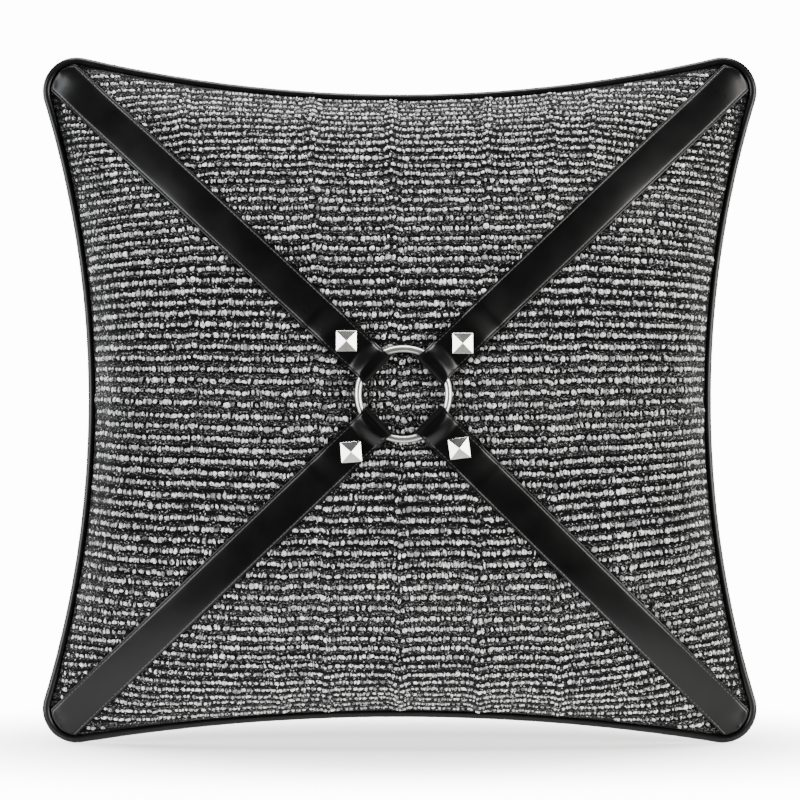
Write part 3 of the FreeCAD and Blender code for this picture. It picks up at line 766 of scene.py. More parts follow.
def press_in_straps():
    """Finds the smooth bed that each tight strap lies in and pushes the cloth behind it."""
    tree = surface_tree(FRONT)
    for line in STRAP_LINES:
        line.bed_a = np.linspace(0.055, line.length - 0.0004, 100)
        widths = line.half_width(line.bed_a)
        grid_a = np.repeat(line.bed_a[:, None], len(BED_B), 1)
        grid_b = widths[:, None] * BED_B[None]
        bed = heights(tree, line.place(grid_a, grid_b), -0.0005)
        bed = blurred(blurred(bed, 12, 0), 3, 1)
        flat = bed.mean(axis=1, keepdims=True)
        bed = 0.35 * flat + 0.65 * bed
        rise = (line.bed_a - 0.08) / (line.length - 0.08)
        press = 0.0022 * np.sin(np.clip(rise, 0, 1) * math.pi) ** 0.8
        bed += press[:, None]
        near_end = smooth_step(line.bed_a, line.length - 0.02, line.length)[:, None]
        line.bed = np.minimum(bed, -0.0012 - 0.001 * (1 - near_end))
    x, z = FRONT[..., 0], FRONT[..., 2]
    for line in STRAP_LINES:
        a, b = line.local(x, z)
        middle = np.interp(a, line.bed_a, line.bed[:, len(BED_B) // 2])
        edges = np.interp(a, line.bed_a, 0.5 * (line.bed[:, 0] + line.bed[:, -1]))
        share = np.clip(np.abs(b) / STRAP_HALF, 0, 1) ** 2
        under = (1 - share) * middle + share * edges + 0.0005
        weight = 1 - smooth_step(np.abs(b), STRAP_HALF + 0.0015, STRAP_HALF + 0.016)
        weight = weight * smooth_step(a, 0.05, 0.08)
        inside = a < line.length - 0.001
        push = np.maximum(under - FRONT[..., 1], 0) * weight * inside
        FRONT[..., 1] += push
        hard = (np.abs(b) < STRAP_HALF + 0.0015) & (a > 0.06) & inside
        FRONT[..., 1] = np.where(hard, np.maximum(FRONT[..., 1], under), FRONT[..., 1])
    FRONT[..., 1] = np.minimum(FRONT[..., 1], 0)


press_in_straps()


# ------------------------------------------------------------------ front: ground cloth and white yarn

def normals_of(grid):
    du, dv = np.gradient(grid, axis=0), np.gradient(grid, axis=1)
    normal = np.cross(du, dv)
    length = np.linalg.norm(normal, axis=-1, keepdims=True)
    return normal / np.maximum(length, 1e-12)


def sampled(grid, s, t):
    """The grid's value at cloth coordinates s and t, in metres from the middle."""
    i = np.clip((s / CLOTH_HALF + 1) / 2 * (COUNT - 1), 0, COUNT - 1.001)
    j = np.clip((t / CLOTH_HALF + 1) / 2 * (COUNT - 1), 0, COUNT - 1.001)
    i0, j0 = i.astype(int), j.astype(int)
    fi, fj = (i - i0)[:, None], (j - j0)[:, None]
    return ((1 - fi) * (1 - fj) * grid[i0, j0] + fi * (1 - fj) * grid[i0 + 1, j0]
            + (1 - fi) * fj * grid[i0, j0 + 1] + fi * fj * grid[i0 + 1, j0 + 1])


def row_closeness(t):
    """Pitch of the rows against the middle's: they close up towards the top and the bottom."""
    return 1 - 0.30 * smooth_step(t, 0.07, 0.22) - 0.20 * smooth_step(-t, 0.12, 0.22)


UPRIGHT = np.linspace(-0.32, 0.32, 1281)
EVEN = np.cumsum((UPRIGHT[1] - UPRIGHT[0]) / row_closeness(UPRIGHT))
EVEN -= EVEN[len(EVEN) // 2]


def row_places(shift):
    """Cloth heights of the white rows (shift 0) or of the rows between them (shift 0.5)."""
    middle = COUNT // 2
    stretch = np.linalg.norm(FRONT[middle, middle + 4] - FRONT[middle, middle - 4])
    pitch = ROW_PITCH / stretch * (PARAM[middle + 4] - PARAM[middle - 4])
    reach = int(1.35 * CLOTH_HALF / pitch)
    numbers = np.arange(-reach, reach + (shift == 0)) + shift
    return np.interp(numbers * pitch, EVEN, UPRIGHT)


def row_bend(s, t):
    """How far the rows are drawn towards mid-height near the sides, least at the lower left."""
    pull = 0.017 * smooth_step(np.abs(s), 0.10, 0.275) * np.clip(t / 0.15, -1, 1)
    return np.where((s < 0) & (t < 0), 0.3, 1.0) * pull


def weave_coordinates():
    s, t = np.meshgrid(PARAM, PARAM, indexing="ij")
    even = np.interp(t + row_bend(s, t), UPRIGHT, EVEN)
    return np.stack([s, even, np.zeros_like(s)], -1).reshape(-1, 3) * 1000


def front_cloth():
    piece = add_mesh("front_tweed", FRONT.reshape(-1, 3), grid_faces(COUNT, COUNT), TWEED_GROUND)
    add_attribute(piece, "weave", "FLOAT_VECTOR", weave_coordinates())
    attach(piece, "cover")
    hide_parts("front_panel")
    return piece


def under_a_strap(points):
    hidden = np.zeros(len(points), bool)
    for line in STRAP_LINES:
        a, b = line.local(points[:, 0], points[:, 2])
        hidden |= (np.abs(b) < STRAP_HALF + 0.0004) & (a > 0.0255) & (a < line.length + 0.002)
    return hidden


def bead_shape(around=8, rings=3):
    """A closed rounded bead: unit vectors and faces."""
    points = [(0, 0, 1)]
    for ring in range(1, rings + 1):
        tilt = ring / (rings + 1) * math.pi
        for k in range(around):
            turn = k / around * 2 * math.pi
            points.append((math.sin(tilt) * math.cos(turn), math.sin(tilt) * math.sin(turn),
                           math.cos(tilt)))
    points.append((0, 0, -1))
    faces = [(0, 1 + k, 1 + (k + 1) % around) for k in range(around)]
    for ring in range(rings - 1):
        a, b = 1 + ring * around, 1 + (ring + 1) * around
        for k in range(around):
            n = (k + 1) % around
            faces.append((a + k, b + k, b + n, a + n))
    base, end = 1 + (rings - 1) * around, len(points) - 1
    faces += [(base + k, end, base + (k + 1) % around) for k in range(around)]
    return np.array(points), faces


def add_bead_pieces(name, vertices, t, tone, shape, faces, material):
    """The beads in bands from low to high, each band one piece."""
    bands = 4
    band_of = np.clip(((t + CLOTH_HALF) / (2 * CLOTH_HALF) * bands).astype(int), 0, bands - 1)
    for band in range(bands):
        members = np.flatnonzero(band_of == band)
        all_faces = [tuple(corner + k * len(shape) for corner in face)
                     for k in range(len(members)) for face in faces]
        piece = add_mesh(f"{name}_{band + 1}", vertices[members].reshape(-1, 3), all_faces, material)
        add_attribute(piece, "tone", "FLOAT", np.repeat(tone[members], len(shape)))
        outward(piece)
        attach(piece, "cover")


def yarn_rows():
    """The white yarn's floats: rows of uneven beads between fine black warp threads."""
    rows = row_places(0)
    normal = normals_of(FRONT)
    along_s = np.gradient(FRONT, axis=0)
    shape, faces = bead_shape(7, 3)
    lengths = (0.0013, 0.0017, 0.0021, 0.0025, 0.0029, 0.0034, 0.0042)
    gaps = (0.0001, 0.0003, 0.0003, 0.0006, 0.0010, 0.0020)
    beads = []
    for number, row in enumerate(rows):
        along = -CLOTH_HALF + 0.001
        wander = random.uniform(0, 50)
        while along < CLOTH_HALF - 0.001:
            length = random.choice(lengths) * random.uniform(0.85, 1.15)
            drift = noise.noise(Vector((along * 30, number * 3.3, wander)))
            fat = 1 + 0.25 * noise.noise(Vector((along * 45, number * 7.1, 2)))
            beads.append((along + length / 2, row + 0.0005 * drift + random.uniform(-0.0005, 0.0005),
                          length / 2 * 1.04, random.uniform(0.0012, 0.0021) * fat,
                          random.uniform(0.0009, 0.0013) * fat, random.uniform(-0.3, 0.3),
                          random.betavariate(2.4, 1.2)))
            along += length + random.choice(gaps)
    beads = np.array(beads).T
    s, t, half_s, half_t, lift, turn, tone = beads
    half_t *= row_closeness(t)
    t -= row_bend(s, t)
    centre = sampled(FRONT, s, t)
    out = sampled(normal, s, t)
    out *= -np.sign(out[:, 1].mean()) / np.linalg.norm(out, axis=1)[:, None]
    rim = np.minimum(CLOTH_HALF - np.abs(s), CLOTH_HALF - np.abs(t))
    row_edge, row_end = 0.0042, 0.0055
    keep = (rim > row_edge) & (np.abs(s) < CLOTH_HALF - row_end) & ~under_a_strap(centre)
    s, t, half_s, half_t, lift, turn, tone = beads[:, keep]
    centre, out = centre[keep], out[keep]
    s_axis = sampled(along_s, s, t)
    s_axis -= out * (s_axis * out).sum(1)[:, None]
    s_axis /= np.linalg.norm(s_axis, axis=1)[:, None]
    t_axis = np.cross(out, s_axis)
    cos, sin = np.cos(turn)[:, None], np.sin(turn)[:, None]
    s_turned, t_turned = cos * s_axis + sin * t_axis, cos * t_axis - sin * s_axis
    wobble = 1 + draw.uniform(-0.32, 0.32, (len(centre), len(shape), 1))
    vertices = (centre[:, None]
                + wobble * (shape[None, :, :1] * (half_s[:, None, None] * s_turned[:, None])
                            + shape[None, :, 1:2] * (half_t[:, None, None] * t_turned[:, None])
                            + np.maximum(shape[None, :, 2:], -0.3)
                            * (lift[:, None, None] * out[:, None])))
    add_bead_pieces("white_yarn", vertices, t, tone, shape, faces, WHITE_YARN)


def loop_rows():
    """Low grey and black loops of the finer yarn that fills the space between the white rows."""
    rows = row_places(0.5)
    shape, faces = bead_shape(5, 2)
    per_row = int(2 * CLOTH_HALF / 0.0017)
    s = np.tile(np.linspace(-CLOTH_HALF, CLOTH_HALF, per_row), (len(rows), 1))
    s = (s + draw.uniform(-0.0008, 0.0008, s.shape)).ravel()
    t = (rows[:, None] + draw.normal(0, 0.00075, (len(rows), per_row))).ravel()
    t -= row_bend(s, t)
    chosen = (np.abs(s) < CLOTH_HALF - 0.004) & (np.abs(t) < CLOTH_HALF - 0.004)
    s, t = s[chosen], t[chosen]
    centre = sampled(FRONT, s, t)
    clear = ~under_a_strap(centre)
    s, t, centre = s[clear], t[clear], centre[clear]
    s_axis, t_axis = sampled(np.gradient(FRONT, axis=0), s, t), sampled(np.gradient(FRONT, axis=1), s, t)
    out = np.cross(s_axis, t_axis)
    out *= -np.sign(out[:, 1:2])
    frame_axes = [axis / np.linalg.norm(axis, axis=1)[:, None] for axis in (s_axis, t_axis, out)]
    turn = draw.uniform(0, math.pi, len(s))[:, None]
    first = np.cos(turn) * frame_axes[0] + np.sin(turn) * frame_axes[1]
    second = np.cos(turn) * frame_axes[1] - np.sin(turn) * frame_axes[0]
    long_half = draw.uniform(0.0005, 0.0011, len(s))[:, None, None]
    short_half = draw.uniform(0.0003, 0.0005, len(s))[:, None, None]
    vertices = (centre[:, None] + long_half * shape[None, :, :1] * first[:, None]
                + short_half * shape[None, :, 1:2] * second[:, None]
                + short_half * 1.3 * shape[None, :, 2:] * frame_axes[2][:, None])
    tone = np.where(draw.random(len(s)) < 0.45, draw.uniform(0.0, 0.02, len(s)),
                    draw.uniform(0.08, 1.0, len(s)))
    add_bead_pieces("grey_loops", vertices, t, tone, shape, faces, GREY_LOOPS)


front_cloth()
yarn_rows()
loop_rows()


# ------------------------------------------------------------------ straps

def across_profile():
    """Across a strap, from edge to edge: place as a share of half the width, and thickness."""
    half = ((1.0, 0.5), (0.996, 0.85), (0.984, 1.0), (0.93, 1.03), (0.9, 1.0), (0.882, 0.84),
            (0.866, 0.83), (0.85, 0.97), (0.78, 1.07), (0.6, 1.19), (0.4, 1.27), (0.2, 1.32))
    left = [(-share, thick) for share, thick in half]
    right = [(share, thick) for share, thick in reversed(half)]
    return np.array(left + [(0.0, 1.34)] + right)


PROFILE = across_profile()


def bed_height(line, a, share):
    """Y of the pressed cloth under a strap at a along and share of half the width across."""
    column = (share + 1) / 2 * (len(BED_B) - 1)
    low = int(min(column, len(BED_B) - 2))
    first = np.interp(a, line.bed_a, line.bed[:, low])
    second = np.interp(a, line.bed_a, line.bed[:, low + 1])
    return first + (second - first) * (column - low)


def strap_stations(line):
    """Per station: kind and position, from the corner, over the ring, round it and back."""
    on_cloth = np.concatenate([
        np.linspace(line.length - 0.0004, line.length - 0.016, 14),
        np.linspace(line.length - 0.018, ON_CLOTH, 90)])
    down = np.linspace(ON_CLOTH - 0.001, 0.046, 22)
    over = np.linspace(0.045, FOLD_CENTRE, 30)
    bend = np.linspace(0, math.pi, 13)[1:-1]
    tail = np.linspace(FOLD_CENTRE, TAIL_END, 20)
    stations = [("top", a) for a in (*on_cloth, *down, *over)]
    stations += [("bend", turn) for turn in bend]
    stations += [("tail", a) for a in tail]
    return stations


TAIL_FACE = -FRONT_CROWN - 0.0001 - LEATHER
LEG_FACE = RING_CENTRE[1] - RING_WIRE - 0.00025
BEND_RADIUS = (TAIL_FACE - LEG_FACE) / 2
BEND_MIDDLE = (TAIL_FACE + LEG_FACE) / 2
FOLD_CENTRE = FOLD_DISTANCE + BEND_RADIUS + LEATHER


def leg_height(line, a, b, share):
    """Y of a strap's inner face: on the cloth, then on its tail, then draped over the ring."""
    on_tail = TAIL_FACE - 0.0001
    if a >= ON_CLOTH:
        return bed_height(line, a, share) - 0.0002
    if a >= LEAVES_TAIL - 0.006:
        mix = float(smooth_step(a, LEAVES_TAIL - 0.006, ON_CLOTH))
        return (1 - mix) * on_tail + mix * (bed_height(line, ON_CLOTH, share) - 0.0002)
    radius = math.hypot(a, b + line.aside)
    outside = float(smooth_step(radius, RING_RADIUS + 0.0008, RING_RADIUS + 0.0115))
    sag = 0.0005 * float(smooth_step(RING_RADIUS - radius, 0.0012, 0.0032))
    sag *= float(smooth_step(a, FOLD_CENTRE - 0.001, FOLD_CENTRE + 0.0012))
    return (1 - outside) * LEG_FACE + outside * on_tail + sag


def make_strap(line):
    inner, outer = [], []
    for kind, where in strap_stations(line):
        row_in, row_out = [], []
        half = float(line.half_width(where)) if kind == "top" else STRAP_HALF
        for share, thick in PROFILE:
            b = share * half
            thickness = LEATHER * (thick if kind == "top" else 1.0)
            if kind == "top":
                a, y = where, leg_height(line, where, b, share)
                normal = (0.0, -1.0)
            elif kind == "bend":
                a = FOLD_CENTRE - BEND_RADIUS * math.sin(where)
                y = BEND_MIDDLE - BEND_RADIUS * math.cos(where)
                normal = (-math.sin(where), -math.cos(where))
            else:
                a, y = where, TAIL_FACE
                normal = (0.0, 1.0)
            x, z = line.place(a, b)
            row_in.append((x, y, z))
            x, z = line.place(a + normal[0] * thickness, b)
            row_out.append((x, y + normal[1] * thickness, z))
        inner.append(row_in)
        outer.append(row_out)
    inner, outer = np.array(inner), np.array(outer)
    count_i, count_j = inner.shape[:2]
    total = count_i * count_j
    faces = grid_faces(count_i, count_j) + grid_faces(count_i, count_j, total, True)
    for i in range(count_i - 1):
        for j in (0, count_j - 1):
            a = i * count_j + j
            faces.append((a, a + count_j, total + a + count_j, total + a))
    for i in (0, count_i - 1):
        for j in range(count_j - 1):
            a = i * count_j + j
            faces.append((a, a + 1, total + a + 1, total + a))
    vertices = np.concatenate([inner.reshape(-1, 3), outer.reshape(-1, 3)])
    piece = outward(add_mesh(f"leather_strap_{line.name}", vertices, faces, LEATHER_BLACK))
    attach(piece, "cover")
    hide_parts(f"strap_{line.name}")
    return outer


def strap_stitches(line):
    """Top stitches in the groove along both edges, one small twisted float each."""
    shape, faces = bead_shape(6, 3)
    vertices, all_faces = [], []
    pitch, half_length, half_width = 0.0031, 0.00115, 0.00028
    groove = 0.865
    sunk = 0.8 * LEATHER
    for side in (-1, 1):
        for a in np.arange(0.031, line.length - 0.012, pitch):
            half = float(line.half_width(a))
            b = side * groove * half
            y = leg_height(line, a, b, side * groove) - sunk
            ahead = leg_height(line, a + 0.001, b, side * groove) - sunk
            x, z = line.place(a, b)
            direction = np.array([line.along[0] * 0.001, ahead - y, line.along[1] * 0.001])
            direction /= np.linalg.norm(direction)
            across = np.array([line.across[0], 0, line.across[1]])
            up = np.cross(direction, across)
            base = len(vertices)
            for px, py, pz in shape:
                point = (np.array([x, y, z]) + px * half_length * direction
                         + py * half_width * across + pz * half_width * 0.8 * up)
                vertices.append(point)
            all_faces += [tuple(base + corner for corner in face) for face in faces]
    piece = outward(add_mesh(f"stitches_{line.name}", vertices, all_faces, THREAD))
    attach(piece, "cover")


for strap_line in STRAP_LINES:
    make_strap(strap_line)
    strap_stitches(strap_line)


# ------------------------------------------------------------------ ring and studs

def make_ring():
    turns = np.linspace(0, 2 * math.pi, 193)[:-1]
    path = RING_CENTRE + RING_RADIUS * np.stack([np.cos(turns), 0 * turns, np.sin(turns)], 1)
    vertices, faces = tube_mesh(path, RING_WIRE, 24, True)
    piece = outward(add_mesh("o_ring", vertices, faces, RING_NICKEL))
    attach(piece, "ring")
    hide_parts("ring")


def make_stud(line):
    low, high = corners(f"stud_{line.name}")
    centre = (low + high) / 2
    half, skirt, tip = 0.007, 0.0008, 0.0002
    top, base = low[1], low[1] + 0.0042
    turn = math.radians(-line.turn)
    levels = ((base + 0.0004, half - 0.0003), (base, half), (base - skirt, half), (top, tip))
    vertices, faces = [], []
    for y, reach in levels:
        for dx, dz in ((-1, -1), (1, -1), (1, 1), (-1, 1)):
            x, z = dx * reach, dz * reach
            vertices.append((centre[0] + x * math.cos(turn) - z * math.sin(turn), y,
                             centre[2] + x * math.sin(turn) + z * math.cos(turn)))
    for level in range(len(levels) - 1):
        for k in range(4):
            n = (k + 1) % 4
            faces.append((4 * level + k, 4 * level + n, 4 * level + 4 + n, 4 * level + 4 + k))
    faces += [(0, 3, 2, 1), tuple(4 * (len(levels) - 1) + k for k in range(4))]
    piece = outward(add_mesh(f"pyramid_stud_{line.name}", vertices, faces, NICKEL, smooth=False))
    bevelled(piece, 0.00016, 2, 0.35)
    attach(piece, "cover")
    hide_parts(f"stud_{line.name}")


make_ring()
for strap_line in STRAP_LINES:
    make_stud(strap_line)


# ------------------------------------------------------------------ welt

def make_welt():
    """The leather tube all round the seam, a little uneven where the cover is gathered."""
    sides = outline_sides(WELT_RADIUS, 260)
    loop = np.concatenate([sides["right"], sides["top"][::-1][1:], sides["left"][::-1][1:],
                           sides["bottom"][1:-1]])
    path = np.stack([loop[:, 0], np.zeros(len(loop)), loop[:, 1]], 1)
    radius = np.array([WELT_RADIUS * (1 + 0.035 * noise.noise(Vector((x * 120, z * 120, 3))))
                       for x, z in loop])
    vertices, faces = tube_mesh(path, radius, 20, True)
    piece = outward(add_mesh("leather_welt", vertices, faces, WELT_LEATHER))
    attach(piece, "cover")
    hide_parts("welt_cover")


make_welt()


# ------------------------------------------------------------------ back, zip and insert

UPPER_TAPE, LOWER_TAPE = centre_of("zip_tape_upper"), centre_of("zip_tape_lower")
ZIP_HALF = corners("zip_tape_upper")[1][0]
COIL_HALF = corners("zip_coil_upper")[1][0]
TAPE_HALF = 0.0004
ZIP_DEPTH = 0.0026
SLOT_HALF = 0.0052
# The zip's own axes: along it, up the back panel, and out of the pillow.
ZIP_ALONG = np.array([1.0, 0, 0])
ZIP_UP = (UPPER_TAPE - LOWER_TAPE) / np.linalg.norm(UPPER_TAPE - LOWER_TAPE)
ZIP_OUT = np.cross(ZIP_ALONG, ZIP_UP)
ZIP_OUT *= -np.sign(ZIP_OUT[2])
TAPE_FACE = (UPPER_TAPE + LOWER_TAPE) / 2 + TAPE_HALF * ZIP_OUT
CLOTH_LINE = TAPE_FACE + ZIP_DEPTH * ZIP_OUT


def lay_back_along_zip():
    """Brings the back cloth near its lower edge onto the plane of the zip."""
    row = int(np.argmin(np.linalg.norm(BACK[COUNT // 2] - CLOTH_LINE, axis=1)))
    x = BACK[..., 0]
    lengths = np.linalg.norm(np.diff(BACK, axis=1), axis=2)
    cumulative = np.concatenate([np.zeros((COUNT, 1)), np.cumsum(lengths, axis=1)], axis=1)
    steps = cumulative - cumulative[:, row:row + 1]
    target = (CLOTH_LINE[None, None] + steps[..., None] * ZIP_UP[None, None])
    target[..., 0] = x
    reach = smooth_step(np.abs(steps), 0.008, 0.03)
    ends = smooth_step(np.abs(x), ZIP_HALF - 0.004, ZIP_HALF + 0.045)
    weight = ((1 - reach) * (1 - ends))[..., None]
    weight[:, :2] = 0
    return row, BACK + weight * (target - BACK)


ZIP_ROW, BACK = lay_back_along_zip()


def back_pieces():
    """Upper and lower back cloth; their lips turn in to the tape on both sides of the coils."""
    columns = np.flatnonzero(np.abs(BACK[:, ZIP_ROW, 0]) < ZIP_HALF - 0.001)
    first, last = columns[0], columns[-1]
    spacing = np.linalg.norm(BACK[COUNT // 2, ZIP_ROW + 1] - BACK[COUNT // 2, ZIP_ROW])
    skip = max(2, int(round(SLOT_HALF / spacing)))
    weave = weave_coordinates().reshape(COUNT, COUNT, 3)
    lip = ((0.0004, 0.0006), (0.0013, 0.0005), (0.0025, -0.0005))  # below the cloth, past its edge
    for name, rows, lip_row in (("lower", range(0, ZIP_ROW + 1), ZIP_ROW - skip),
                                ("upper", range(ZIP_ROW, COUNT), ZIP_ROW + skip)):
        rows = list(rows)
        index = -np.ones((COUNT, COUNT), int)
        vertices, coords, faces = [], [], []
        for i in range(COUNT):
            for j in rows:
                index[i, j] = len(vertices)
                vertices.append(BACK[i, j])
                coords.append(weave[i, j])
        for i in range(COUNT - 1):
            for j in rows[:-1]:
                between = lip_row <= j < ZIP_ROW if name == "lower" else ZIP_ROW <= j < lip_row
                if between and first <= i < last:
                    continue
                faces.append((index[i, j], index[i, j + 1], index[i + 1, j + 1], index[i + 1, j]))
        turned = {}
        for i in range(first, last + 1):
            edge = BACK[i, lip_row]
            turned[i] = []
            for depth, inward in lip:
                direction = 1 if name == "lower" else -1
                point = edge - depth * ZIP_OUT + direction * inward * ZIP_UP
                turned[i].append(len(vertices))
                vertices.append(point)
                coords.append(weave[i, lip_row] + (0, depth * 1000, 0))
        for i in range(first, last):
            here, there = [index[i, lip_row]] + turned[i], [index[i + 1, lip_row]] + turned[i + 1]
            for k in range(len(lip)):
                quad = (here[k], here[k + 1], there[k + 1], there[k])
                faces.append(quad if name == "lower" else quad[::-1])
        used = sorted({corner for face in faces for corner in face})
        renumber = {old: new for new, old in enumerate(used)}
        faces = [tuple(renumber[corner] for corner in face) for face in faces]
        piece = add_mesh(f"back_cloth_{name}", np.array(vertices)[used], faces, BACK_CLOTH)
        add_attribute(piece, "weave", "FLOAT_VECTOR", np.array(coords)[used])
        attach(piece, "cover")
        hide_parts(f"back_panel_{name}")


def make_insert():
    """The filled inner pillow, a little smaller than the cover."""
    step = 3
    front, back = FRONT[::step, ::step].copy(), BACK[::step, ::step].copy()
    count = front.shape[0]
    centre = np.array([0, 0, MIDDLE])
    shrink = np.array([0.955, 0.94, 0.955])
    front, back = centre + (front - centre) * shrink, centre + (back - centre) * shrink
    vertices = np.concatenate([front.reshape(-1, 3), back.reshape(-1, 3)])
    faces = grid_faces(count, count) + grid_faces(count, count, count * count, True)
    piece = add_mesh("insert_pillow", vertices, faces, TICKING)
    edit = bmesh.new()
    edit.from_mesh(piece.data)
    bmesh.ops.remove_doubles(edit, verts=edit.verts, dist=1e-6)
    edit.to_mesh(piece.data)
    edit.free()
    outward(piece)
    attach(piece, "cover")
    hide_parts("insert_case_front", "insert_case_back", "insert_fill")


def zip_point(x, up, out):
    return TAPE_FACE + x * ZIP_ALONG + up * ZIP_UP + out * ZIP_OUT


def make_coils():
    """Each half is one nylon wire bent into flat turns that meet in the middle."""
    pitch, wire, per_turn = 0.0017, 0.00032, 10
    for name, side in (("upper", 1), ("lower", -1)):
        count = int(2 * COIL_HALF / pitch)
        points = []
        for turn in range(count):
            x = -COIL_HALF + turn * pitch + (0 if side == 1 else pitch / 2)
            for share in range(per_turn):
                angle = share / per_turn * 2 * math.pi
                reach = 0.0010 - 0.0014 * math.cos(angle)
                points.append(zip_point(x + share / per_turn * pitch, side * (reach + 0.0001),
                                        0.0009 + 0.0006 * math.sin(angle)))
        vertices, faces = tube_mesh(points, wire, 5, False)
        piece = outward(add_mesh(f"coil_{name}", vertices, faces, NYLON))
        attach(piece, "cover")
        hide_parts(f"zip_coil_{name}")


def zip_solid(name, outlines, body, bevel):
    """Closed prisms from (points, low, high) in the zip's axes around the slider's place.

    body is also the name of the node that the piece stands for.
    """
    slider_middle = np.array([ZIP_PIVOT[0], 0, 0])
    vertices, faces = [], []
    for points, low, high in outlines:
        base, count = len(vertices), len(points)
        for out in (low, high):
            vertices += [slider_middle + zip_point(x, up, out) for x, up in points]
        faces.append(tuple(base + k for k in range(count))[::-1])
        faces.append(tuple(base + count + k for k in range(count)))
        for k in range(count):
            n = (k + 1) % count
            faces.append((base + k, base + n, base + count + n, base + count + k))
    piece = outward(add_mesh(name, vertices, faces, ZINC, smooth=False))
    bevelled(piece, bevel, 3, 0.6)
    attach(piece, body)
    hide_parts(body)


def oval(half_length, half_width, power=3.0, count=28, shift=0.0):
    points = []
    for k in range(count):
        turn = k / count * 2 * math.pi
        cos, sin = math.cos(turn), math.sin(turn)
        points.append((shift + math.copysign(abs(cos) ** (2 / power), cos) * half_length,
                       math.copysign(abs(sin) ** (2 / power), sin) * half_width))
    return points


def make_slider():
    top = 0.0021
    plate = 0.0009
    zip_solid("slider", [
        (oval(0.0053, 0.0042, 3.2), top, top + plate),
        (oval(0.0053, 0.0042, 3.2), -0.0021, -0.0012),
        (oval(0.0008, 0.0004, 2.0, 10, 0.0042), -0.0014, top + 0.0002),
    ], "zip_slider", 0.0003)
    arch = [(-0.0026, top), (-0.0027, top + 0.0018), (-0.0020, top + 0.0030), (0, top + 0.0034),
            (0.0020, top + 0.0030), (0.0027, top + 0.0018), (0.0026, top)]
    path = [zip_point(ZIP_PIVOT[0] + x, 0, out) for x, out in arch]
    dense = finer(np.array(path)[:, None, :].repeat(2, 1), 4)[:, 0]
    vertices, faces = tube_mesh(dense, 0.00055, 10, False)
    piece = outward(add_mesh("slider_arch", vertices, faces, ZINC))
    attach(piece, "zip_slider")


def make_pull():
    """A rounded tab hung by two arms from a crossbar."""
    pivot = float((ZIP_PIVOT - TAPE_FACE) @ ZIP_OUT)
    half_thick = 0.0006
    low, high = pivot - half_thick, pivot + half_thick
    tab = [(-0.0058, -0.0030), (-0.0058, 0.0030), (-0.0130, 0.0035), (-0.0163, 0.0031),
           (-0.0179, 0.0018), (-0.0184, 0.0), (-0.0179, -0.0018), (-0.0163, -0.0031),
           (-0.0130, -0.0035)]
    arms = [[(0.0005, side * 0.0019), (0.0005, side * 0.0031), (-0.0062, side * 0.0031),
             (-0.0062, side * 0.0019)] for side in (-1, 1)]
    crossbar = [(-0.0005, -0.0022), (0.0005, -0.0022), (0.0005, 0.0022), (-0.0005, 0.0022)]
    outlines = [(tab, low, high)] + [(arm, low, high) for arm in arms]
    outlines.append((crossbar, pivot - 0.0005, pivot + 0.0005))
    zip_solid("pull_tab", outlines, "zip_pull", 0.0002)


back_pieces()
make_insert()
make_coils()
make_slider()
make_pull()

for node_name, material in (
    ("zip_tape_upper", TAPE), ("zip_tape_lower", TAPE),
    ("zip_stop_open_end", ZINC), ("zip_stop_closed_end", ZINC),
    ("welt_cord", COTTON_CORD),
    *((f"stud_backing_{name}", BACKING_STEEL) for name in STRAPS),
):
    carried = frame["nodes"][node_name]
    for slot_index in range(max(1, len(carried.material_slots))):
        if slot_index < len(carried.material_slots):
            carried.material_slots[slot_index].material = material
        else:
            carried.data.materials.append(material)


# ------------------------------------------------------------------ floor, light, camera

def make_stage():
    material, tree, shader = new_material("pale_floor", Roughness=0.9, Specular_IOR_Level=0.1)
    place = coordinates(tree)
    shade = noise_value(tree, place, 3.0)
    tree.links.new(mixed(tree, shade, (0.88, 0.875, 0.865), (0.90, 0.895, 0.885)),
                   shader.inputs["Base Color"])
    shader.inputs["Emission Color"].default_value = (1, 0.995, 0.985, 1)
    shader.inputs["Emission Strength"].default_value = 0.9
    # Away from the pillow the floor fades out into the white backdrop, so the greyer floor left round the
    # pillow is a painted soft shadow halo.
    painted_halo_distance = node(tree, "ShaderNodeVectorMath", operation="LENGTH")
    tree.links.new(stretched(tree, place, (0.9, 1.3, 1)), painted_halo_distance.inputs[0])
    fade = node(tree, "ShaderNodeMapRange", interpolation_type="SMOOTHSTEP")
    for socket, value in (("From Min", 0.15), ("From Max", 0.46), ("To Min", 1.0), ("To Max", 0.0)):
        fade.inputs[socket].default_value = value
    tree.links.new(painted_halo_distance.outputs["Value"], fade.inputs["Value"])
    tree.links.new(fade.outputs["Result"], shader.inputs["Alpha"])
    reach = 0.9
    floor = add_mesh("floor", [(-reach, -reach, 0), (reach, -reach, 0), (reach, reach, 0),
                               (-reach, reach, 0)], [(0, 1, 2, 3)], material)


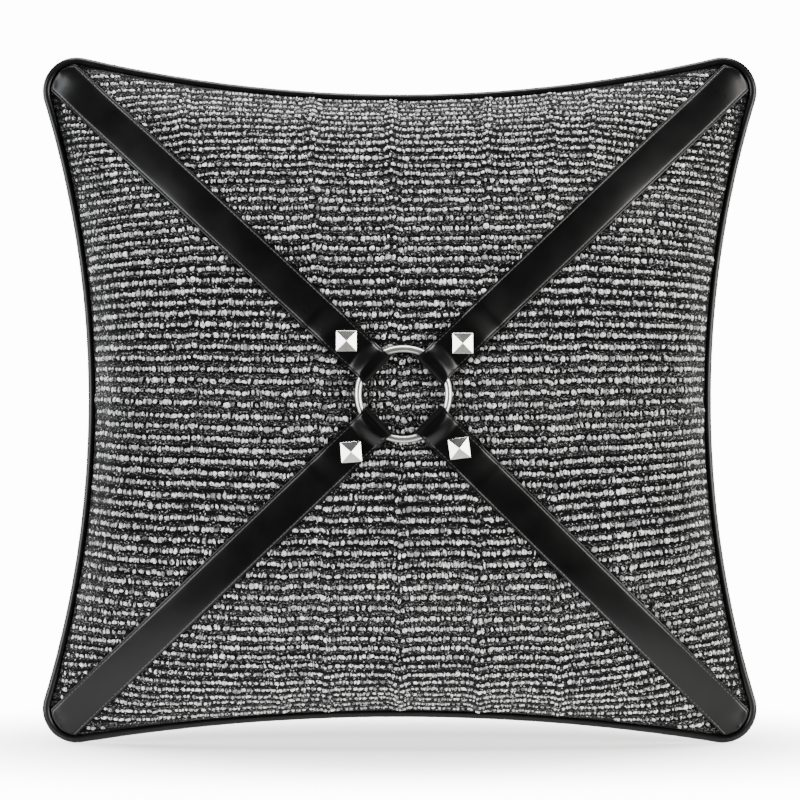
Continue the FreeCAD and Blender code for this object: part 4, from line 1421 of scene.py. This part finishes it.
def add_light(name, place, aim, power, width, height, colour=(1, 1, 1)):
    data = bpy.data.lights.new(name, "AREA")
    data.shape = "RECTANGLE"
    data.size, data.size_y = width, height
    data.energy = power
    data.color = colour
    lamp = bpy.data.objects.new(name, data)
    lamp.location = place
    lamp.rotation_euler = (Vector(aim) - Vector(place)).to_track_quat("-Z", "Y").to_euler()
    bpy.context.scene.collection.objects.link(lamp)


def make_lights():
    aim = (0, 0, MIDDLE)
    add_light("left_box", (-1.55, -1.0, 0.30), aim, 72, 1.3, 1.2, (0.96, 0.98, 1.0))
    add_light("right_box", (1.55, -1.0, 0.38), aim, 88, 1.3, 1.2, (1.0, 0.985, 0.96))
    add_light("top_box", (0, -0.12, 1.7), aim, 62, 1.3, 0.6)
    add_light("back_left_box", (-1.5, 1.25, 0.7), aim, 80, 1.3, 1.2)
    add_light("back_right_box", (1.5, 1.25, 0.5), aim, 60, 1.3, 1.2)
    world = bpy.data.worlds.new("studio")
    bpy.context.scene.world = world
    world.use_nodes = True
    tree = world.node_tree
    tree.nodes.clear()
    seen = tree.nodes.new("ShaderNodeLightPath")
    low, high = tree.nodes.new("ShaderNodeBackground"), tree.nodes.new("ShaderNodeBackground")
    low.inputs["Color"].default_value = (1, 1, 1, 1)
    low.inputs["Strength"].default_value = 0.03
    high.inputs["Color"].default_value = (1, 1, 1, 1)
    high.inputs["Strength"].default_value = 14.0
    mix, out = tree.nodes.new("ShaderNodeMixShader"), tree.nodes.new("ShaderNodeOutputWorld")
    tree.links.new(seen.outputs["Is Camera Ray"], mix.inputs[0])
    tree.links.new(low.outputs[0], mix.inputs[1])
    tree.links.new(high.outputs[0], mix.inputs[2])
    tree.links.new(mix.outputs[0], out.inputs["Surface"])


def make_camera():
    """Square on to the front, far off, so that the outline shows as it is."""
    seen_width = 0.56
    data = bpy.data.cameras.new("camera")
    data.lens = 150
    distance = seen_width / 2 / math.tan(math.atan(data.sensor_width / 2 / data.lens))
    camera = bpy.data.objects.new("camera", data)
    camera.location = (0.0002, -distance, MIDDLE)
    camera.rotation_euler = (math.pi / 2, 0, 0)
    bpy.context.scene.collection.objects.link(camera)
    bpy.context.scene.camera = camera


make_stage()
make_lights()
make_camera()
